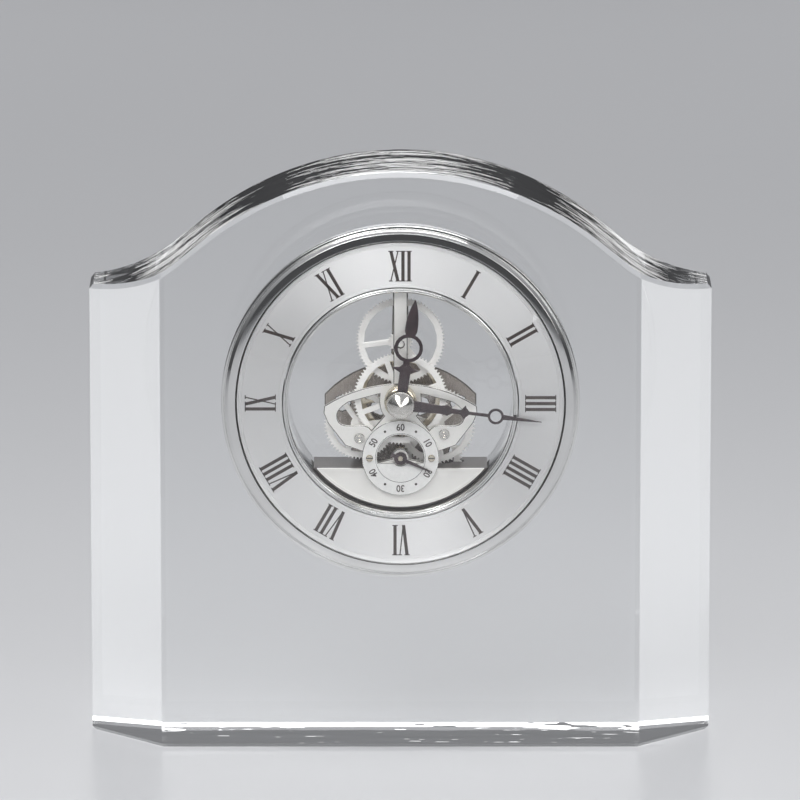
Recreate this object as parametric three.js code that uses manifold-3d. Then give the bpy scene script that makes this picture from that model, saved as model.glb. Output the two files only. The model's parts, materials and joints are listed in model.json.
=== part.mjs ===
// A table clock: a wave-topped block of clear crystal with faceted front corners, and a round insert
// with an open movement pushed into a recess in its front. Millimetres, +Z up, the front faces -Y.
// The origin is on the underside, in the middle of the block's width and depth.
import * as THREE from "three";
import { mergeVertices } from "three/addons/utils/BufferGeometryUtils.js";
import Module from "manifold-3d";

const wasm = await Module();
wasm.setup();

// Crystal block
const BLOCK_WIDTH = 178;
const BLOCK_HEIGHT = 167.6;
const BLOCK_DEPTH = 38;
const ARCH_RADIUS = 90; // the raised middle of the wave
const ARCH_ANGLE = 39; // degrees each side of the top, where the arch runs into its straight slope
const HOLLOW_RADIUS = 46; // the hollow of the wave beside each shoulder
const SHOULDER_ANGLE = 5; // degrees of slope left at the block's side
const FACET_LEG = 20.6; // each front corner is cut off at 45 degrees, this far from the edge
const EDGE_BEVEL = 1.4;
const RECESS_GAP = 1.6; // the grip ring fills it
const RECESS_FLOOR_GAP = 0.5; // behind the insert

// Insert: radii from the dial's axis, and depths behind the dial's front face
const DIAL_HEIGHT = 101.8; // the dial's axis above the underside
const DIAL_PROUD = 3.3; // the dial's face stands this far in front of the block
const DIAL_RADIUS = 46.5;
const DIAL_THICKNESS = 1;
const OPENING_RADIUS = 32;
const LIP_WIDTH = 1.3;
const LIP_RISE = 0.35;
const CAN_WALL = 0.8;
const CAN_DEPTH = 20.9;
const BEZEL_WIDTH = 3.4; // the flange outside the can
const BEZEL_CREST = 0.7; // in front of the dial's face
const BEZEL_SHOULDER = 0.65; // where the slope meets the flange's curve, in shares of the width
const BEZEL_SHOULDER_DEPTH = 0.9;
const FLANGE_THICKNESS = 0.8;
const GRIP_WIDTH = 9;
const LENS_THICKNESS = 1.2;
const LENS_RISE = 8;
const SEAT_GAP = 0.3; // between pieces that rest on each other
const FIT_GAP = 0.15; // between an arbor or a pipe and its hole

// Plates and fixed pieces of the movement
const PLATE_THICKNESS = 1;
const FRONT_PLATE_DEPTH = 4.4;
const REAR_PLATE_DEPTH = 16;
const POST_WIDTH = 4;
const POST_DEPTH = 3;
const POST_THICKNESS = 1;
const BRIDGE_TOP = 4.7; // top of the bridge's arc, above the dial's axis
const BRIDGE_HALF_WIDTH = 21.6;
const BRIDGE_DROP = 6.4; // from the top of the arc to the tips
const REAR_BRIDGE_RISE = 4.1; // its top above the front bridge's
const REAR_BRIDGE_DROP = 9.6;
const BAND_WIDTH = 2.4; // left of a wing above its window
const SECONDS_DROP = 16.5; // the seconds dial's axis below the dial's axis
const SECONDS_RADIUS = 10.9;
const SECONDS_WINDOW = 6.7;
const SECONDS_HUB = 2.4; // of the bridge, round the seconds arbor
const WINDOW_FOOT = 14; // degrees that the window's feet reach below the seconds axis
const SECONDS_THICKNESS = 0.8;
const SECONDS_DIAL_DEPTH = 3.2;
const BRIDGE_FOOT_RADIUS = 10.4;
const SCREW_X = 11.6;
const SCREW_DROP = 11;
const SCREW_HEAD = 1.5;
const SCREW_SHANK = 0.8;
const SCREW_BORDER = 1.8; // the plate left round a screw
const RIGHT_SCREW_SHIFT = [0.8, 1.2]; // right and up
const WING_SIDE = [
  [0.2, -2],
  [-0.9, -4.8],
  [-5.9, -11.4],
]; // corners below a wing's tip, as steps from it
const REAR_WING_SIDE = [
  [0, -4],
  [-6, -11],
];
const WING_FOOT_RISE = 1.5; // above the seconds axis
const WINDOW_SIDE_DROP = 4.2; // below the dial's axis, as the other drops here
const WINDOW_TOP_INNER = 5.9; // where the window's upper edge ends, near the hub
const WINDOW_TOP_OUTER = 14.8;
const WINDOW_NECK = [6.4, -2.6];
const WINDOW_NECK_FOOT = [4.6, -4.6];
const WINDOW_CORNER = [8.2, -8.8];
const WINDOW_CORNER_PULL = 9.2;
const WINDOW_BOSS_PULL = 14.2;
const WINDOW_BOSS_END = 15.6;
const WINDOW_BOSS_GAP = 0.3; // between a screw's border and the window
const SIGHT_HOLE_X = 5.6; // in the rear bridge
const SIGHT_HOLE_RADIUS = 2.6;
const OUTER_HOLE_X = 16.6;
const OUTER_HOLE_DROP = 3.4;
const OUTER_HOLE_RADIUS = 2.2;
const DIAL_SCREW_OFFSET = 8.8; // on each side of the seconds dial's axis
const DIAL_SCREW_HEAD = 1;
const DIAL_SCREW_SHANK = 0.5;
const HOUSING_TOP = -19.9;
const HOUSING_DEPTH = 14;
const REAR_FOOT_HALF_WIDTH = 11.6; // the rear bridge's foot drops into a slot of the housing
const REAR_FOOT_LENGTH = 3.8;
const REAR_FOOT_SHOULDER = 1.6;
const SHELF_PLATE_THICKNESS = 0.8;
const SHELF_BORDER_WIDTH = 0.8; // a raised border all round
const SHELF_BORDER_RISE = 0.3;
const DOOR_WIDTH = 22;
const DOOR_HEIGHT = 7;
const DOOR_THICKNESS = 0.4;
const DOOR_BELOW_TOP = 5.4; // its middle, below the housing's top
const DOOR_SCREW_OFFSET = 9.4;
const DOOR_SCREW_DEPTH = 1.4; // into the housing
const SCREW_HEAD_THICKNESS = 0.4;
const SOCKET_DEPTH = 0.2;
const BOSS_RADIUS = 4.6;
const BOSS_FRONT = 0.4;
const BOSS_BEVEL = 1; // the slope of its front rim

// Train: tooth counts, modules and depths
const HAND_MODULE = 0.33; // the four wheels that turn the hour hand
const CANNON_TEETH = 25;
const MINUTE_WHEEL_TEETH = 75;
const MINUTE_PINION_TEETH = 20;
const HOUR_WHEEL_TEETH = 80;
const SETTING_TEETH = 60;
const SLOW_MODULE = 0.375; // centre wheel and the pinion that turns it
const CENTRE_TEETH = 64;
const THIRD_PINION_TEETH = 8;
const FAST_MODULE = 0.367; // third wheel, seconds pinion and the motor's drive wheel
const THIRD_TEETH = 60;
const SECONDS_PINION_TEETH = 8;
const DRIVE_TEETH = 44;
const ADDENDUM = 0.8; // in modules
const DEDENDUM = 1.15;
const TOOTH_FOOT = 0.64; // width of a tooth at its foot, in shares of the tooth pitch
const WHEEL_THICKNESS = 0.8;
const PINION_THICKNESS = 1.2;
const HOUR_WHEEL_DEPTH = 6.3;
const MINUTE_WHEEL_DEPTH = 8.3;
const CENTRE_WHEEL_DEPTH = 10.5;
const THIRD_WHEEL_DEPTH = 12.3;
const DRIVE_WHEEL_DEPTH = 14.1;
const ARBOR_RADIUS = 0.8;
const THIN_ARBOR_RADIUS = 0.65;
const CANNON_PIPE_RADIUS = 1.45;
const HOUR_PIPE_RADIUS = 2.2;
const ARBOR_OVER = 0.4; // an arbor's end beyond its plate or wheel
const CENTRE_ARBOR_REACH = 1.8; // in front of the minute hand, inside the nut
const KNOB_GRIP = 2; // how far the setting arbor stands in its knob
const PIPE_OVER = 0.2; // a pipe's end in front of its hand
const PINION_HUB = 2; // radius of the hub between the minute wheel and its pinion
const SPOKE_WIDTH = 1.5;
const RIM_WIDTH = 1.6; // below the roots of the teeth
const HUB_RADIUS = 2.6;
const SETTING_ANGLE = 214.5; // degrees, from the dial's axis to the setting wheel's
const DRIVE_ANGLE = -15; // degrees, from the seconds axis to the drive wheel's
const KNOB_RADIUS = 4;
const KNOB_RIBS = 16;
const KNOB_RIB_DEPTH = 0.35;

// Hands, and the time they show
const HOUR_LENGTH = 30.3;
const HOUR_HUB = 3.5;
const HOUR_STEM = 1.5; // half widths of the hands' narrow parts
const HOUR_FLARE = 10.3; // heights of the cross flares above the axis
const HOUR_RING = 16.3; // height of the ring's middle
const HOUR_RING_RADIUS = 4.1;
const HOUR_RING_WIDTH = 1;
const HOUR_LEAF = 1.8;
const HOUR_LEAF_FOOT = 1.3;
const FLARE_SPREAD = 1.2; // half the height of a cross flare
const MINUTE_LENGTH = 40.3;
const MINUTE_HUB = 3;
const MINUTE_STEM = 1.6;
const MINUTE_BARB = 13.4;
const BARB_SLOPE = 2; // height of the barb's swell below it
const BARB_BACK = 1.4; // and of its step above
const MINUTE_FLARE = 18.4;
const MINUTE_RING = 27.2;
const MINUTE_RING_RADIUS = 2.3;
const MINUTE_RING_WIDTH = 0.7;
const MINUTE_NECK = 0.45;
const SECOND_LENGTH = 9.3;
const SECOND_TAIL = 2.9;
const SECOND_HUB = 1.9;
const SECOND_STEM = 0.5;
const TIP_WIDTH = 0.12;
const HAND_THICKNESS = 0.4;
const HOUR_HAND_FRONT = -0.9; // depths, so in front of the dial
const MINUTE_HAND_FRONT = -1.75;
const SECONDS_HAND_FRONT = 2.2;
const MINUTES_SHOWN = 16.2;
const SECONDS_SHOWN = 19;
const NUT_RADIUS = 4;
const NUT_HEIGHT = 3.2;
const NUT_RIM = 0.9;
const NUT_KNURLS = 22;
const KNURL_DEPTH = 0.22;

// Smoothness of round pieces
const RING_SIDES = 40;
const LENS_SIDES = 30;
const LENS_STEPS = 4;
const BOSS_SIDES = 20;
const ARBOR_SIDES = 8;
const HOLE_SIDES = 8;
const SCREW_SIDES = 12;
const HUB_SIDES = 12;

// What follows from the values above
const openingWall = OPENING_RADIUS + CAN_WALL;
const canRadius = DIAL_RADIUS + SEAT_GAP + CAN_WALL;
const bezelRadius = canRadius + BEZEL_WIDTH;
const flangeBack = DIAL_PROUD - SEAT_GAP;
const rearPlateBack = REAR_PLATE_DEPTH + PLATE_THICKNESS;
const housingFront = FRONT_PLATE_DEPTH + PLATE_THICKNESS + SEAT_GAP;
const housingBack = housingFront + HOUSING_DEPTH;
const arborBack = rearPlateBack + ARBOR_OVER;
const pitchRadius = (teeth, module) => (teeth * module) / 2;
const tipRadius = (teeth, module) => pitchRadius(teeth, module) + ADDENDUM * module;
const degrees = Math.PI / 180;
const polar = (radius, angle) =>
  new THREE.Vector2(radius * Math.cos(angle), radius * Math.sin(angle));

// Where each arbor stands, seen from the front: pitch circles touch
const axisAt = (angle, reach) => polar(reach, angle * degrees);
const handReach = pitchRadius(CANNON_TEETH + MINUTE_WHEEL_TEETH, HAND_MODULE);
const centreAxis = new THREE.Vector2(0, 0);
const minuteWheelAxis = axisAt(90, handReach);
const settingAxis = axisAt(SETTING_ANGLE, pitchRadius(CANNON_TEETH + SETTING_TEETH, HAND_MODULE));
const secondsAxis = new THREE.Vector2(0, -SECONDS_DROP);
const driveReach = pitchRadius(SECONDS_PINION_TEETH + DRIVE_TEETH, FAST_MODULE);
const driveAxis = axisAt(DRIVE_ANGLE, driveReach).add(secondsAxis);
const thirdAxis = meetingPoint(
  secondsAxis,
  pitchRadius(SECONDS_PINION_TEETH + THIRD_TEETH, FAST_MODULE),
  centreAxis,
  pitchRadius(CENTRE_TEETH + THIRD_PINION_TEETH, SLOW_MODULE),
);

// The point at one distance from a and another from b, on the right of the way from a to b.
function meetingPoint(a, fromA, b, fromB) {
  const way = b.clone().sub(a);
  const reach = way.length();
  const along = (fromA ** 2 - fromB ** 2 + reach ** 2) / (2 * reach);
  const aside = Math.sqrt(fromA ** 2 - along ** 2);
  way.normalize();
  return new THREE.Vector2(
    a.x + along * way.x + aside * way.y,
    a.y + along * way.y - aside * way.x,
  );
}

// Solids: three.js makes the forms, manifold-3d joins and cuts them
function toSolid(geometry) {
  const bare = new THREE.BufferGeometry();
  bare.setAttribute("position", geometry.getAttribute("position"));
  if (geometry.index) bare.setIndex(geometry.index);
  const merged = mergeVertices(bare, 1e-4);
  const corners = merged.index.array;
  const kept = [];
  for (let i = 0; i < corners.length; i += 3) {
    const [a, b, c] = corners.slice(i, i + 3);
    if (a !== b && b !== c && c !== a) kept.push(a, b, c);
  }
  return new wasm.Manifold(
    new wasm.Mesh({
      numProp: 3,
      vertProperties: merged.attributes.position.array,
      triVerts: new Uint32Array(kept),
    }),
  );
}

function toGeometry(solid) {
  const mesh = solid.getMesh();
  const geometry = new THREE.BufferGeometry();
  geometry.setAttribute("position", new THREE.BufferAttribute(mesh.vertProperties, 3));
  geometry.setIndex(new THREE.BufferAttribute(mesh.triVerts, 1));
  return geometry;
}

const joined = (...forms) => toGeometry(forms.map(toSolid).reduce((a, b) => a.add(b)));
const cut = (form, ...tools) =>
  toGeometry(tools.map(toSolid).reduce((a, b) => a.subtract(b), toSolid(form)));

// A plate with this outline between two depths. Local +Z points to the front.
function plate(shape, front, back, curveSegments = 16) {
  const form = new THREE.ExtrudeGeometry(shape, {
    depth: back - front,
    bevelEnabled: false,
    curveSegments,
  });
  return form.translate(0, 0, -back);
}

// A turned piece: its section is a closed list of [radius, depth] corners, going round anticlockwise
// where the radius grows to the right and the front is up.
function turned(section, sides = RING_SIDES) {
  const points = section.map(([radius, depth]) => new THREE.Vector2(radius, -depth));
  if (points[0].x !== 0 || points.at(-1).x !== 0) points.push(points[0].clone());
  return new THREE.LatheGeometry(points, sides).rotateX(Math.PI / 2);
}

const rod = (radius, front, back, sides = ARBOR_SIDES) =>
  turned(
    [
      [0, back],
      [radius, back],
      [radius, front],
      [0, front],
    ],
    sides,
  );

const pipe = (inner, outer, front, back, sides = ARBOR_SIDES) =>
  turned(
    [
      [inner, back],
      [outer, back],
      [outer, front],
      [inner, front],
    ],
    sides,
  );

// A round hole as a polygon whose flats lie on the circle, so that what passes keeps its clearance.
function circle(centre, radius) {
  const points = [];
  for (let i = 0; i < HOLE_SIDES; i += 1) {
    const corner = polar(radius / Math.cos(Math.PI / HOLE_SIDES), (2 * Math.PI * i) / HOLE_SIDES);
    points.push(corner.add(centre));
  }
  return new THREE.Path(points);
}

// Gears: straight-flanked pointed teeth, with one tooth centred on the phase angle
function gearOutline(teeth, module, phase) {
  const root = pitchRadius(teeth, module) - DEDENDUM * module;
  const tip = tipRadius(teeth, module);
  const step = (2 * Math.PI) / teeth;
  const points = [];
  for (let i = 0; i < teeth; i += 1) {
    const middle = phase + i * step;
    points.push(polar(root, middle - (TOOTH_FOOT * step) / 2));
    points.push(polar(tip, middle));
    points.push(polar(root, middle + (TOOTH_FOOT * step) / 2));
  }
  return new THREE.Shape(points);
}

// The window between two spokes, with arcs along the rim and the hub.
function spokeWindow(rim, hub, from, to) {
  const atRim = Math.asin(SPOKE_WIDTH / 2 / rim);
  const atHub = Math.asin(SPOKE_WIDTH / 2 / hub);
  const path = new THREE.Path();
  path.absarc(0, 0, rim, from + atRim, to - atRim, false);
  path.absarc(0, 0, hub, to - atHub, from + atHub, true);
  path.closePath();
  return path;
}

// A spoked wheel as a plate, with a bore where it doesn't sit on a solid arbor.
function wheel(teeth, module, phase, front, spokes, spokeAngle, bore = 0) {
  const shape = gearOutline(teeth, module, phase);
  const rim = pitchRadius(teeth, module) - DEDENDUM * module - RIM_WIDTH;
  const turn = (2 * Math.PI) / spokes;
  const start = spokeAngle * degrees;
  for (let i = 0; i < spokes; i += 1)
    shape.holes.push(spokeWindow(rim, HUB_RADIUS + bore, start + i * turn, start + (i + 1) * turn));
  if (bore) shape.holes.push(circle(centreAxis, bore));
  return plate(shape, front, front + WHEEL_THICKNESS, 3);
}

// A pinion is thicker than the wheel that it meets, and centred on it.
function pinion(teeth, module, phase, wheelFront, bore = 0) {
  const shape = gearOutline(teeth, module, phase);
  if (bore) shape.holes.push(circle(centreAxis, bore));
  const front = wheelFront - (PINION_THICKNESS - WHEEL_THICKNESS) / 2;
  return plate(shape, front, front + PINION_THICKNESS, 3);
}

// The phase that puts a gap of the second gear where the first has a tooth.
function meshedPhase(teeth, phase, axis, otherTeeth, otherAxis) {
  const way = Math.atan2(otherAxis.y - axis.y, otherAxis.x - axis.x);
  return way + Math.PI - (Math.PI - (way - phase) * teeth) / otherTeeth;
}

// Hands: an outline drawn for a hand that points up
function mirroredOutline(halfOutline) {
  const mirrored = halfOutline.map((p) => new THREE.Vector2(-p.x, p.y)).reverse();
  return new THREE.Shape([...halfOutline, ...mirrored]);
}

// One side of a leaf between two heights, widest at the given share of its length.
function leafSide(from, to, widest, halfWidth, footWidth, tipWidth, steps = 8) {
  const points = [];
  for (let i = 0; i <= steps; i += 1) {
    const share = i / steps;
    const rise = share < widest ? share / widest : (1 - share) / (1 - widest);
    const base = footWidth + (tipWidth - footWidth) * share;
    const swell = (halfWidth - base) * Math.sin((rise * Math.PI) / 2);
    points.push(new THREE.Vector2(base + swell, from + (to - from) * share));
  }
  return points;
}

// A cross flare: two pointed wings that stand out from the stem.
const flareSide = (height, halfWidth, stem, neck, spread = FLARE_SPREAD) => [
  new THREE.Vector2(stem, height - spread),
  new THREE.Vector2(halfWidth, height),
  new THREE.Vector2(neck + 0.75 * spread, height + 0.25 * spread),
  new THREE.Vector2(neck, height + spread),
];

function handForm(halfOutline, hubRadius, hubBore, front, clockwise, ring) {
  const back = front + HAND_THICKNESS;
  const blade = plate(mirroredOutline(halfOutline), front, back);
  const pieces = [blade, rod(hubRadius, front, back, HUB_SIDES)];
  const tools = [rod(hubBore, front - 1, back + 1, HUB_SIDES)];
  if (ring) {
    const inner = ring.radius - ring.width;
    const disc = new THREE.Shape().absarc(0, ring.height, ring.radius, 0, 2 * Math.PI, false);
    const hole = new THREE.Shape().absarc(0, ring.height, inner, 0, 2 * Math.PI, false);
    pieces.push(plate(disc, front, back, 9));
    tools.push(plate(hole, front - 1, back + 1, 9));
  }
  return cut(joined(...pieces), ...tools).rotateZ(-clockwise);
}

// Named meshes in nested groups
const clock = new THREE.Group();
const insert = new THREE.Group(); // local x is right, y is up and z points to the front
insert.rotation.x = Math.PI / 2;
insert.position.set(0, -BLOCK_DEPTH / 2 - DIAL_PROUD, DIAL_HEIGHT);
clock.add(insert);

const finish = (color, metalness, roughness, extra = {}) =>
  new THREE.MeshStandardMaterial({ color, metalness, roughness, ...extra });
const crystal = finish(0xf2f6f8, 0, 0.02, { transparent: true, opacity: 0.3 });
const clear = finish(0xf8fafa, 0, 0.02, { transparent: true, opacity: 0.15 });
const chrome = finish(0xd8d8d6, 1, 0.08);
const dialSilver = finish(0xcfcfce, 0.7, 0.4);
const plateSilver = finish(0xd6d4d0, 0.8, 0.3);
const wheelSilver = finish(0xe0dedb, 0.8, 0.3);
const shadowSteel = finish(0x9a908b, 0.9, 0.25);
const brass = finish(0xc9b184, 1, 0.2);
const handDark = finish(0x332e38, 0.6, 0.3);
const whiteEnamel = finish(0xe6e5e2, 0.2, 0.45);
const rubber = finish(0xb8bcbc, 0, 0.6);
const greyPlastic = finish(0x77726f, 0, 0.5);

function add(name, geometry, material, parent = insert, axis = centreAxis) {
  const mesh = new THREE.Mesh(geometry, material);
  mesh.name = name;
  mesh.position.set(axis.x, axis.y, 0);
  parent.add(mesh);
}

// Crystal block
function waveOutline() {
  const half = BLOCK_WIDTH / 2 - EDGE_BEVEL;
  const top = BLOCK_HEIGHT - EDGE_BEVEL;
  const arch = ARCH_RADIUS - EDGE_BEVEL;
  const hollow = HOLLOW_RADIUS + EDGE_BEVEL;
  const steep = ARCH_ANGLE * degrees;
  const gentle = SHOULDER_ANGLE * degrees;
  const archEnd = new THREE.Vector2(arch * Math.sin(steep), top - arch * (1 - Math.cos(steep)));
  const hollowWidth = hollow * (Math.sin(steep) - Math.sin(gentle));
  const slopeEnd = half - hollowWidth;
  const slopeBottom = archEnd.y - (slopeEnd - archEnd.x) * Math.tan(steep);
  const hollowCentre = new THREE.Vector2(
    slopeEnd + hollow * Math.sin(steep),
    slopeBottom + hollow * Math.cos(steep),
  );
  const up = Math.PI / 2;
  const shape = new THREE.Shape();
  shape.moveTo(-half, EDGE_BEVEL);
  shape.lineTo(half, EDGE_BEVEL);
  shape.absarc(hollowCentre.x, hollowCentre.y, hollow, -up - gentle, -up - steep, true);
  shape.absarc(0, top - arch, arch, up - steep, up + steep, false);
  shape.absarc(-hollowCentre.x, hollowCentre.y, hollow, -up + steep, -up + gentle, true);
  shape.closePath();
  return shape;
}

function crystalBlock() {
  const body = new THREE.ExtrudeGeometry(waveOutline(), {
    depth: BLOCK_DEPTH - 2 * EDGE_BEVEL,
    bevelThickness: EDGE_BEVEL,
    bevelSize: EDGE_BEVEL,
    bevelSegments: 1,
    curveSegments: 12,
  });
  body.translate(0, 0, -(BLOCK_DEPTH / 2 - EDGE_BEVEL)).rotateX(Math.PI / 2);
  const facetCut = (side) => {
    const corner = new THREE.Vector2((side * BLOCK_WIDTH) / 2, -BLOCK_DEPTH / 2);
    const over = FACET_LEG / 2;
    const outline = new THREE.Shape([
      new THREE.Vector2(corner.x - side * (FACET_LEG + over), corner.y - over),
      new THREE.Vector2(corner.x + side * over, corner.y - over),
      new THREE.Vector2(corner.x + side * over, corner.y + FACET_LEG + over),
    ]);
    const depth = BLOCK_HEIGHT + 2 * over;
    return new THREE.ExtrudeGeometry(outline, { depth, bevelEnabled: false }).translate(0, 0, -over);
  };
  const recess = rod(canRadius + RECESS_GAP, -1, CAN_DEPTH + RECESS_FLOOR_GAP, RING_SIDES);
  recess.rotateX(Math.PI / 2).translate(0, insert.position.y, DIAL_HEIGHT);
  return cut(body, facetCut(-1), facetCut(1), recess);
}

add("crystal_block", crystalBlock(), crystal, clock);

// Case of the insert
const bezelSection = [
  [canRadius + SEAT_GAP, flangeBack],
  [bezelRadius, flangeBack],
  [bezelRadius, flangeBack - FLANGE_THICKNESS],
  [canRadius + BEZEL_WIDTH * BEZEL_SHOULDER, BEZEL_SHOULDER_DEPTH],
  [canRadius + BEZEL_WIDTH / 4, -BEZEL_CREST + 0.15],
  [canRadius, -BEZEL_CREST],
  [DIAL_RADIUS + SEAT_GAP, -BEZEL_CREST + 0.5],
  [DIAL_RADIUS + SEAT_GAP, DIAL_THICKNESS],
  [canRadius + SEAT_GAP, DIAL_THICKNESS],
];
add("bezel", turned(bezelSection, RING_SIDES), chrome);

const canFront = DIAL_THICKNESS + SEAT_GAP;
const canSection = [
  [canRadius - CAN_WALL, canFront],
  [canRadius - CAN_WALL, CAN_DEPTH - CAN_WALL],
  [openingWall + SEAT_GAP, CAN_DEPTH - CAN_WALL],
  [openingWall + SEAT_GAP, CAN_DEPTH],
  [canRadius, CAN_DEPTH],
  [canRadius, canFront],
];
add("case_can", turned(canSection), chrome);

const gripFront = (DIAL_PROUD + CAN_DEPTH - GRIP_WIDTH) / 2;
add(
  "grip_ring",
  pipe(
    canRadius + SEAT_GAP / 2,
    canRadius + RECESS_GAP - SEAT_GAP / 2,
    gripFront,
    gripFront + GRIP_WIDTH,
    RING_SIDES,
  ),
  rubber,
);
add("inner_tube", pipe(OPENING_RADIUS, openingWall, canFront, CAN_DEPTH, RING_SIDES), chrome);
add(
  "dial_ring",
  pipe(OPENING_RADIUS + LIP_WIDTH + SEAT_GAP, DIAL_RADIUS, 0, DIAL_THICKNESS, RING_SIDES),
  dialSilver,
);

const lipSection = [
  [OPENING_RADIUS, DIAL_THICKNESS],
  [OPENING_RADIUS + LIP_WIDTH, DIAL_THICKNESS],
  [OPENING_RADIUS + LIP_WIDTH, -LIP_RISE + 0.2],
  [OPENING_RADIUS + LIP_WIDTH - 0.4, -LIP_RISE],
  [OPENING_RADIUS, -LIP_RISE + 0.1],
];
add("dial_lip", turned(lipSection), chrome);

// The lens is one dome of even thickness: its section climbs one arc and comes back along another.
function lensSection() {
  const rimRadius = DIAL_RADIUS - SEAT_GAP / 3;
  const arc = (rimDepth, way) =>
    Array.from({ length: LENS_STEPS + 1 }, (_, i) => {
      const share = (way > 0 ? i : LENS_STEPS - i) / LENS_STEPS;
      return [rimRadius * share, rimDepth - LENS_RISE * (1 - share ** 2)];
    });
  return [...arc(-SEAT_GAP, 1), ...arc(-SEAT_GAP - LENS_THICKNESS, -1)];
}
add("front_lens", turned(lensSection(), LENS_SIDES), clear);

// Bridges: two wings under one arc, with a foot behind the seconds dial
function arcPoint(x, top, drop) {
  const radius = (BRIDGE_HALF_WIDTH ** 2 + drop ** 2) / (2 * drop);
  return new THREE.Vector2(x, top - radius + Math.sqrt(radius ** 2 - x ** 2));
}

function archSide(top, drop, steps = 8) {
  return Array.from({ length: steps + 1 }, (_, i) =>
    arcPoint((BRIDGE_HALF_WIDTH * i) / steps, top, drop),
  );
}

const stepsFrom = (start, steps) => steps.map(([x, y]) => new THREE.Vector2(start.x + x, start.y + y));

function frontBridgeShape() {
  const tip = arcPoint(BRIDGE_HALF_WIDTH, BRIDGE_TOP, BRIDGE_DROP);
  const wing = [
    ...archSide(BRIDGE_TOP, BRIDGE_DROP),
    ...stepsFrom(tip, WING_SIDE),
    new THREE.Vector2(BRIDGE_FOOT_RADIUS, -SECONDS_DROP + WING_FOOT_RISE),
  ];
  const foot = 10;
  for (let i = 1; i <= foot; i += 1) {
    const angle = -((Math.PI / 2) * i) / foot;
    const point = polar(BRIDGE_FOOT_RADIUS, angle).add(secondsAxis);
    wing.push(point);
  }
  return bothWings(wing);
}

// An outline from its right half, which runs from the top to the foot. Its corners go round
// anticlockwise, so that three.js turns every hole the right way.
function bothWings(wing) {
  const left = wing.filter((p) => p.x > 0).map((p) => new THREE.Vector2(-p.x, p.y));
  return new THREE.Shape([...left, ...wing.slice().reverse()]);
}

// The open part of a wing, between the arc, the hub and the screw's boss.
function wingWindow(hand) {
  const at = (x, y) => [hand * x, y];
  const underArc = (x) => arcPoint(x, BRIDGE_TOP, BRIDGE_DROP).y - BAND_WIDTH;
  const outer = BRIDGE_HALF_WIDTH - 1.5 * BAND_WIDTH;
  const bossTop = -SCREW_DROP + SCREW_HEAD + SCREW_BORDER;
  const edge = bossTop + WINDOW_BOSS_GAP;
  const path = new THREE.Path();
  const side = [outer, -WINDOW_SIDE_DROP];
  const shoulder = [outer, underArc(outer) - 2 * WINDOW_BOSS_GAP];
  path.moveTo(...at(...side));
  path.quadraticCurveTo(...at(...shoulder), ...at(WINDOW_TOP_OUTER, underArc(WINDOW_TOP_OUTER)));
  path.lineTo(...at(WINDOW_TOP_INNER, underArc(WINDOW_TOP_INNER)));
  path.quadraticCurveTo(...at(...WINDOW_NECK), ...at(...WINDOW_NECK_FOOT));
  path.lineTo(...at(...WINDOW_CORNER));
  path.quadraticCurveTo(...at(WINDOW_CORNER_PULL, edge + 0.2), ...at(SCREW_X, edge));
  path.quadraticCurveTo(...at(WINDOW_BOSS_PULL, edge - 0.2), ...at(WINDOW_BOSS_END, edge));
  path.quadraticCurveTo(...at(outer + 0.2, edge + 0.4), ...at(...side));
  return path;
}

// The half-moon opening behind the seconds hand, round a hub where one is given.
function secondsWindow(radius, hub = 0) {
  const path = new THREE.Path();
  const below = WINDOW_FOOT * degrees;
  path.absarc(0, -SECONDS_DROP, radius, -below, Math.PI + below, false);
  if (hub) path.absarc(0, -SECONDS_DROP, hub, Math.PI + below, -below, true);
  path.closePath();
  return path;
}

const screwPlaces = [
  ["left", new THREE.Vector2(-SCREW_X, -SCREW_DROP)],
  ["right", new THREE.Vector2(SCREW_X + RIGHT_SCREW_SHIFT[0], -SCREW_DROP + RIGHT_SCREW_SHIFT[1])],
];
const dialScrewPlaces = [
  ["left", new THREE.Vector2(-DIAL_SCREW_OFFSET, -SECONDS_DROP)],
  ["right", new THREE.Vector2(DIAL_SCREW_OFFSET, -SECONDS_DROP)],
];

function frontBridge() {
  const shape = frontBridgeShape();
  const back = FRONT_PLATE_DEPTH + PLATE_THICKNESS;
  shape.holes.push(wingWindow(-1), wingWindow(1), secondsWindow(SECONDS_WINDOW, SECONDS_HUB));
  shape.holes.push(circle(centreAxis, HOUR_PIPE_RADIUS + FIT_GAP));
  shape.holes.push(circle(secondsAxis, THIN_ARBOR_RADIUS + FIT_GAP));
  for (const [, place] of screwPlaces) shape.holes.push(circle(place, SCREW_SHANK + FIT_GAP));
  for (const [, place] of dialScrewPlaces)
    shape.holes.push(circle(place, DIAL_SCREW_SHANK + FIT_GAP));
  return plate(shape, FRONT_PLATE_DEPTH, back, 4);
}
add("front_bridge", frontBridge(), plateSilver);

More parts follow.
